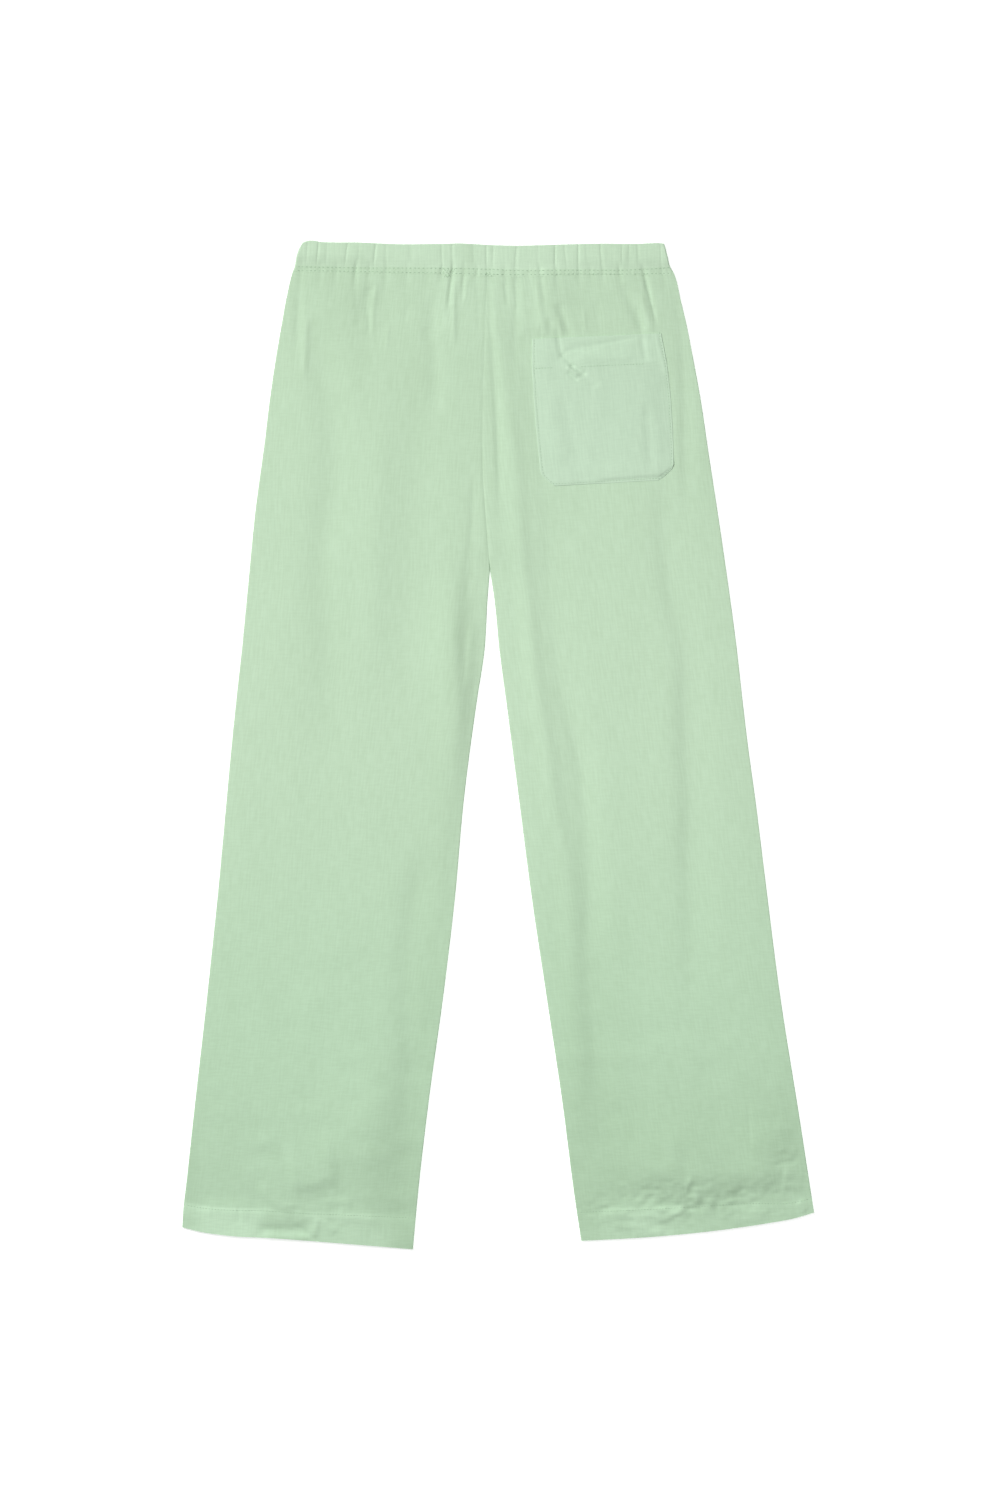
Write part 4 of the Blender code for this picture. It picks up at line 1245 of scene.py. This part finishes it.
def pocket_place(share, level):
    """Place of a pocket point, by its share across and its level in the pocket's own table."""
    table = np.array(POCKET_EDGES)
    left = np.interp(level, table[:, 0], table[:, 1])
    right = np.interp(level, table[:, 0], table[:, 2])
    return mix(left, right, share), level + POCKET_TILT * (2.0 * share - 1.0)


def pocket_outline(inset=0.0):
    """The pocket's edge as a path from its mouth's left corner, down, across and up to its right corner."""
    rows = np.array(POCKET_EDGES)
    levels = np.concatenate((rows[::-1, 0], rows[:, 0]))
    shares = np.concatenate((np.zeros(len(rows)), np.ones(len(rows))))
    levels = np.where(levels == rows[0, 0], levels + inset, levels)
    x, y = pocket_place(shares, levels)
    x = x + np.where(shares == 0.0, inset, -inset)
    return np.column_stack((x, y))


def pocket_top(x, y, mouth_gap):
    """Outer face of the patch pocket: the panel's own folds, softened, raised off it, and its own creases."""
    under = panel_top("right", x, y)
    edge_gap = distance_to(pocket_outline(), x, y)
    hem_gap = POCKET_HEM - mouth_gap
    height = under + POCKET_RISE + POCKET_PUFF * ease((edge_gap - PUFF_START) / PUFF_REACH)
    height += MOUTH_STEP * ease(0.5 + hem_gap / MOUTH_STEP_WIDTH) + fold_height(POCKET_CREASES, x, y)
    height -= bell(edge_gap - STITCH_INSET, *POCKET_STITCH_DENT) + bell(hem_gap, *MOUTH_DENT)
    return np.maximum(height, under + POCKET_LEAST)


def make_pocket(material):
    """The patch pocket: its sides and bottom are turned under and stitched down, its mouth is hemmed."""
    steps = np.array(POCKET_STEPS)
    even = np.linspace(POCKET_FIRST, POCKET_WIDTH - POCKET_FIRST, POCKET_COLUMNS)
    across = np.concatenate((steps, even, POCKET_WIDTH - steps[::-1]))
    even = np.linspace(POCKET_BOTTOM + POCKET_FIRST, POCKET_MOUTH - MOUTH_FIRST, POCKET_ROWS)
    levels = np.concatenate((POCKET_BOTTOM + steps, even, POCKET_MOUTH - steps[3::-1]))
    share, level = np.meshgrid(across / POCKET_WIDTH, levels)
    x, y = pocket_place(share, level)
    mouth_gap = POCKET_MOUTH - level
    turned = quarter(distance_to(pocket_outline(), x, y) / POCKET_RADIUS)
    turned = turned * quarter((mouth_gap + MOUTH_OVERHANG) / POCKET_RADIUS)
    z = mix(panel_top("right", x, y) - POCKET_LEAST, pocket_top(x, y, mouth_gap), turned)
    in_hem = ease(0.5 + (POCKET_HEM - mouth_gap) / MOUTH_BLEND)
    paleness = mix(*MOUTH_PALENESS, ease((x - MOUTH_PALER) / MOUTH_PALER_BLEND))
    # the second look is painted shade in broad patches
    looks = {"folded": in_hem * paleness, "painted_shading": painted_shading_amount(x, y)}
    lean = np.radians(POCKET_LEAN)
    grain = (x * np.cos(lean) + y * np.sin(lean), y * np.cos(lean) - x * np.sin(lean))
    piece = cloth_shell("patch_pocket", (x, y, z), True, material, grain, looks)
    give_wall(piece, LINEN)
    return dress(piece, "back_pocket")


# ---------------------------------------------------------------- stitches
def along_path(path, pitch):
    """Centres and directions of stitches set at a pitch along a path of straight runs."""
    path = np.asarray(path, float)
    steps = np.hypot(*np.diff(path, axis=0).T)
    reach = np.concatenate(((0.0,), np.cumsum(steps)))
    places = np.arange(pitch / 2.0, reach[-1], pitch)
    x = np.interp(places, reach, path[:, 0])
    y = np.interp(places, reach, path[:, 1])
    run = np.clip(np.searchsorted(reach, places) - 1, 0, len(steps) - 1)
    direction = np.diff(path, axis=0)[run] / steps[run, None]
    return np.column_stack((x, y)), direction


def stitch_mesh(name, centres, directions, heights, length, width, material):
    """Many short stitches in one mesh: each is a flattened round bar whose ends dip into the cloth."""
    rings, sides = STITCH_RINGS, STITCH_SIDES
    along = np.linspace(-0.5, 0.5, rings)
    turn = np.arange(sides) * 2.0 * np.pi / sides
    radius = quarter(1.0 - np.abs(along) * STITCH_TAPER) * width / 2.0
    aside = radius[:, None] * np.cos(turn)
    up = STITCH_FLATNESS * radius[:, None] * np.sin(turn) - 0.5 * width * (2.0 * along[:, None]) ** 2
    forward = np.broadcast_to(along[:, None] * length, aside.shape)
    normals = np.column_stack((-directions[:, 1], directions[:, 0]))
    flat = (
        centres[:, None, None, :]
        + forward[None, :, :, None] * directions[:, None, None, :]
        + aside[None, :, :, None] * normals[:, None, None, :]
    )
    lifted = heights[:, None, None] + up[None]
    points = np.concatenate((flat, lifted[..., None]), axis=-1)
    ring, side = np.meshgrid(np.arange(rings - 1), np.arange(sides), indexing="ij")
    after = (side + 1) % sides
    bar = np.stack((ring * sides + side, ring * sides + after, (ring + 1) * sides + after,
                    (ring + 1) * sides + side), axis=-1).reshape(-1, 4)
    starts = np.arange(len(centres)) * rings * sides
    quads = (starts[:, None, None] + bar[None]).reshape(-1, 4)
    first = np.arange(sides)[::-1]
    last = (rings - 1) * sides + np.arange(sides)
    caps = (starts[:, None, None] + np.stack((first, last))[None]).reshape(-1, sides)
    piece = new_piece(name, points, quads.tolist() + caps.tolist(), material)
    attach(piece, "root")
    return piece


def sew(name, x, y, surface, material, stitch=PLAIN_STITCH):
    """A row of stitches along a path on a surface."""
    pitch, length, width = stitch
    centres, directions = along_path(np.column_stack((x, y)), pitch)
    heights = surface(*centres.T) + STITCH_LIFT
    return stitch_mesh(name, centres, directions, heights, length, width, material)


def make_casing_stitches(material):
    """Both rows of stitches that close the casing, and the zigzag bar tacks at the elastic's join."""
    rows = []
    x = np.linspace(*CASING_STITCHED)
    for column, name in ((1, "upper"), (2, "lower")):
        y = through(CASING_STITCHING, column, x)
        rows.append(sew("casing_stitches_" + name, x, y, band_top, material, CASING_STITCH))
    for number, (start, end, low, high) in enumerate(BAR_TACKS, 1):
        x = np.arange(start, end, TACK_STEP)
        y = np.where(np.arange(len(x)) % 2 == 0, low, high)
        rows.append(sew("casing_bar_tack_%d" % number, x, y, band_top, material, TACK_STITCH))
    return rows


def make_hem_stitches(side, material):
    """The row of stitches that holds a leg's turned hem."""
    share = np.linspace(*HEM_STITCHED)
    level = hem_stitch_level(side, share)
    across = mix(*leg_edges(side, level), share)
    return sew("hem_stitches_" + side, across, level, lambda x, y: panel_top(side, x, y), material)


def make_pocket_stitches(material):
    """The row round the pocket's sides and bottom, and the row across its mouth, which the crumples part."""
    def surface(x, y):
        """The pocket's face, whose mouth is a little higher at its right end."""
        share = (x - POCKET_EDGES[-1][1]) / POCKET_WIDTH
        return pocket_top(x, y, POCKET_MOUTH + POCKET_TILT * (2.0 * share - 1.0) - y)

    rows = [sew("pocket_stitches_edge", *pocket_outline(STITCH_INSET).T, surface, material)]
    for name, *span in MOUTH_STITCHING:
        share = np.linspace(*span)
        x, y = pocket_place(share, np.full_like(share, POCKET_MOUTH - POCKET_HEM))
        rows.append(sew("pocket_stitches_mouth_" + name, x, y, surface, material))
    return rows


# ---------------------------------------------------------------- camera, light and floor
FOCAL_LENGTH = 85.0      # mm
SENSOR = 36.0            # mm, along the longer side of the frame
FRAMED = 1.59            # m of the surface along that side
FRAME_CENTRE = (0.0016, -0.0053)     # m
FLOOR_HALF = 6000.0      # mm, half the floor's side
FLOOR_LEVEL = -0.3       # mm
SKY_STRENGTH = 0.1

# Soft boxes, in metres: name, place, what it is turned towards, side, watts.
SOFT_BOXES = (
    ("soft_box", (-2.8, 2.3, 3.12), (0.0, -0.1, 0.0), 1.7, 196.0),
    ("overhead", (0.3, -0.08, 1.5), (0.15, -0.06, 0.0), 0.8, 10.0),
)


def make_camera():
    """A long lens straight above the trousers, which frames 1.06 by 1.59 m of the surface."""
    lens = bpy.data.cameras.new("camera")
    lens.lens = FOCAL_LENGTH
    lens.sensor_width = SENSOR
    camera = bpy.data.objects.new("camera", lens)
    camera.location = (*FRAME_CENTRE, FRAMED * FOCAL_LENGTH / SENSOR)
    bpy.context.scene.collection.objects.link(camera)
    bpy.context.scene.camera = camera


def make_area_light(name, place, target, size, watts):
    """A square white soft box at a place, turned towards a target."""
    data = bpy.data.lights.new(name, "AREA")
    data.shape = "SQUARE"
    data.size = size
    data.energy = watts
    light = bpy.data.objects.new(name, data)
    light.location = place
    aim = Vector(target) - Vector(place)
    light.rotation_euler = aim.to_track_quat("-Z", "Y").to_euler()
    bpy.context.scene.collection.objects.link(light)


def make_studio():
    """White floor, a soft box at the upper left, a weaker one overhead, and faint light from all round."""
    corners = ((-1.0, -1.0), (1.0, -1.0), (1.0, 1.0), (-1.0, 1.0))
    points = np.array([(x * FLOOR_HALF, y * FLOOR_HALF, FLOOR_LEVEL) for x, y in corners])
    floor = new_piece("floor", points, [(0, 1, 2, 3)], white_floor())
    for soft_box in SOFT_BOXES:
        make_area_light(*soft_box)
    world = bpy.data.worlds.new("studio")
    world.use_nodes = True
    sky = world.node_tree.nodes["Background"]
    sky.inputs["Color"].default_value = WHITE
    sky.inputs["Strength"].default_value = SKY_STRENGTH
    bpy.context.scene.world = world
    bpy.context.scene.view_settings.view_transform = "Standard"


def main():
    make_camera()
    make_studio()
    panel = linen("washed_mint_linen", ("#bcd6b8", "#c3ddc0"), ("#cbe5c8", "#d3edd0"))
    casing = linen("washed_mint_linen_casing", ("#bcd6b8", "#c3ddc0"), ("#c2dbbf", "#c9e2c6"))
    patch = linen("washed_mint_linen_pocket", ("#bfd8be", "#c6dfc5"), ("#c3ddc2", "#cae4c9"))
    # the thread is given a darker green than the linen: its own mint, with painted shade of the holes its
    # stitches sink into
    polyester = thread("mint_thread_with_painted_shade", "#abc9a9")
    for side in ("left", "right"):
        stitches = make_hem_stitches(side, polyester)
        front = make_front_panel(side, panel)
        back = make_back_panel(side, panel)
    casing_front = make_waistband_front(casing)
    casing_back = make_waistband_back(casing)
    pocket = make_pocket(patch)
    casing_rows = make_casing_stitches(polyester)
    pocket_rows = make_pocket_stitches(polyester)


main()
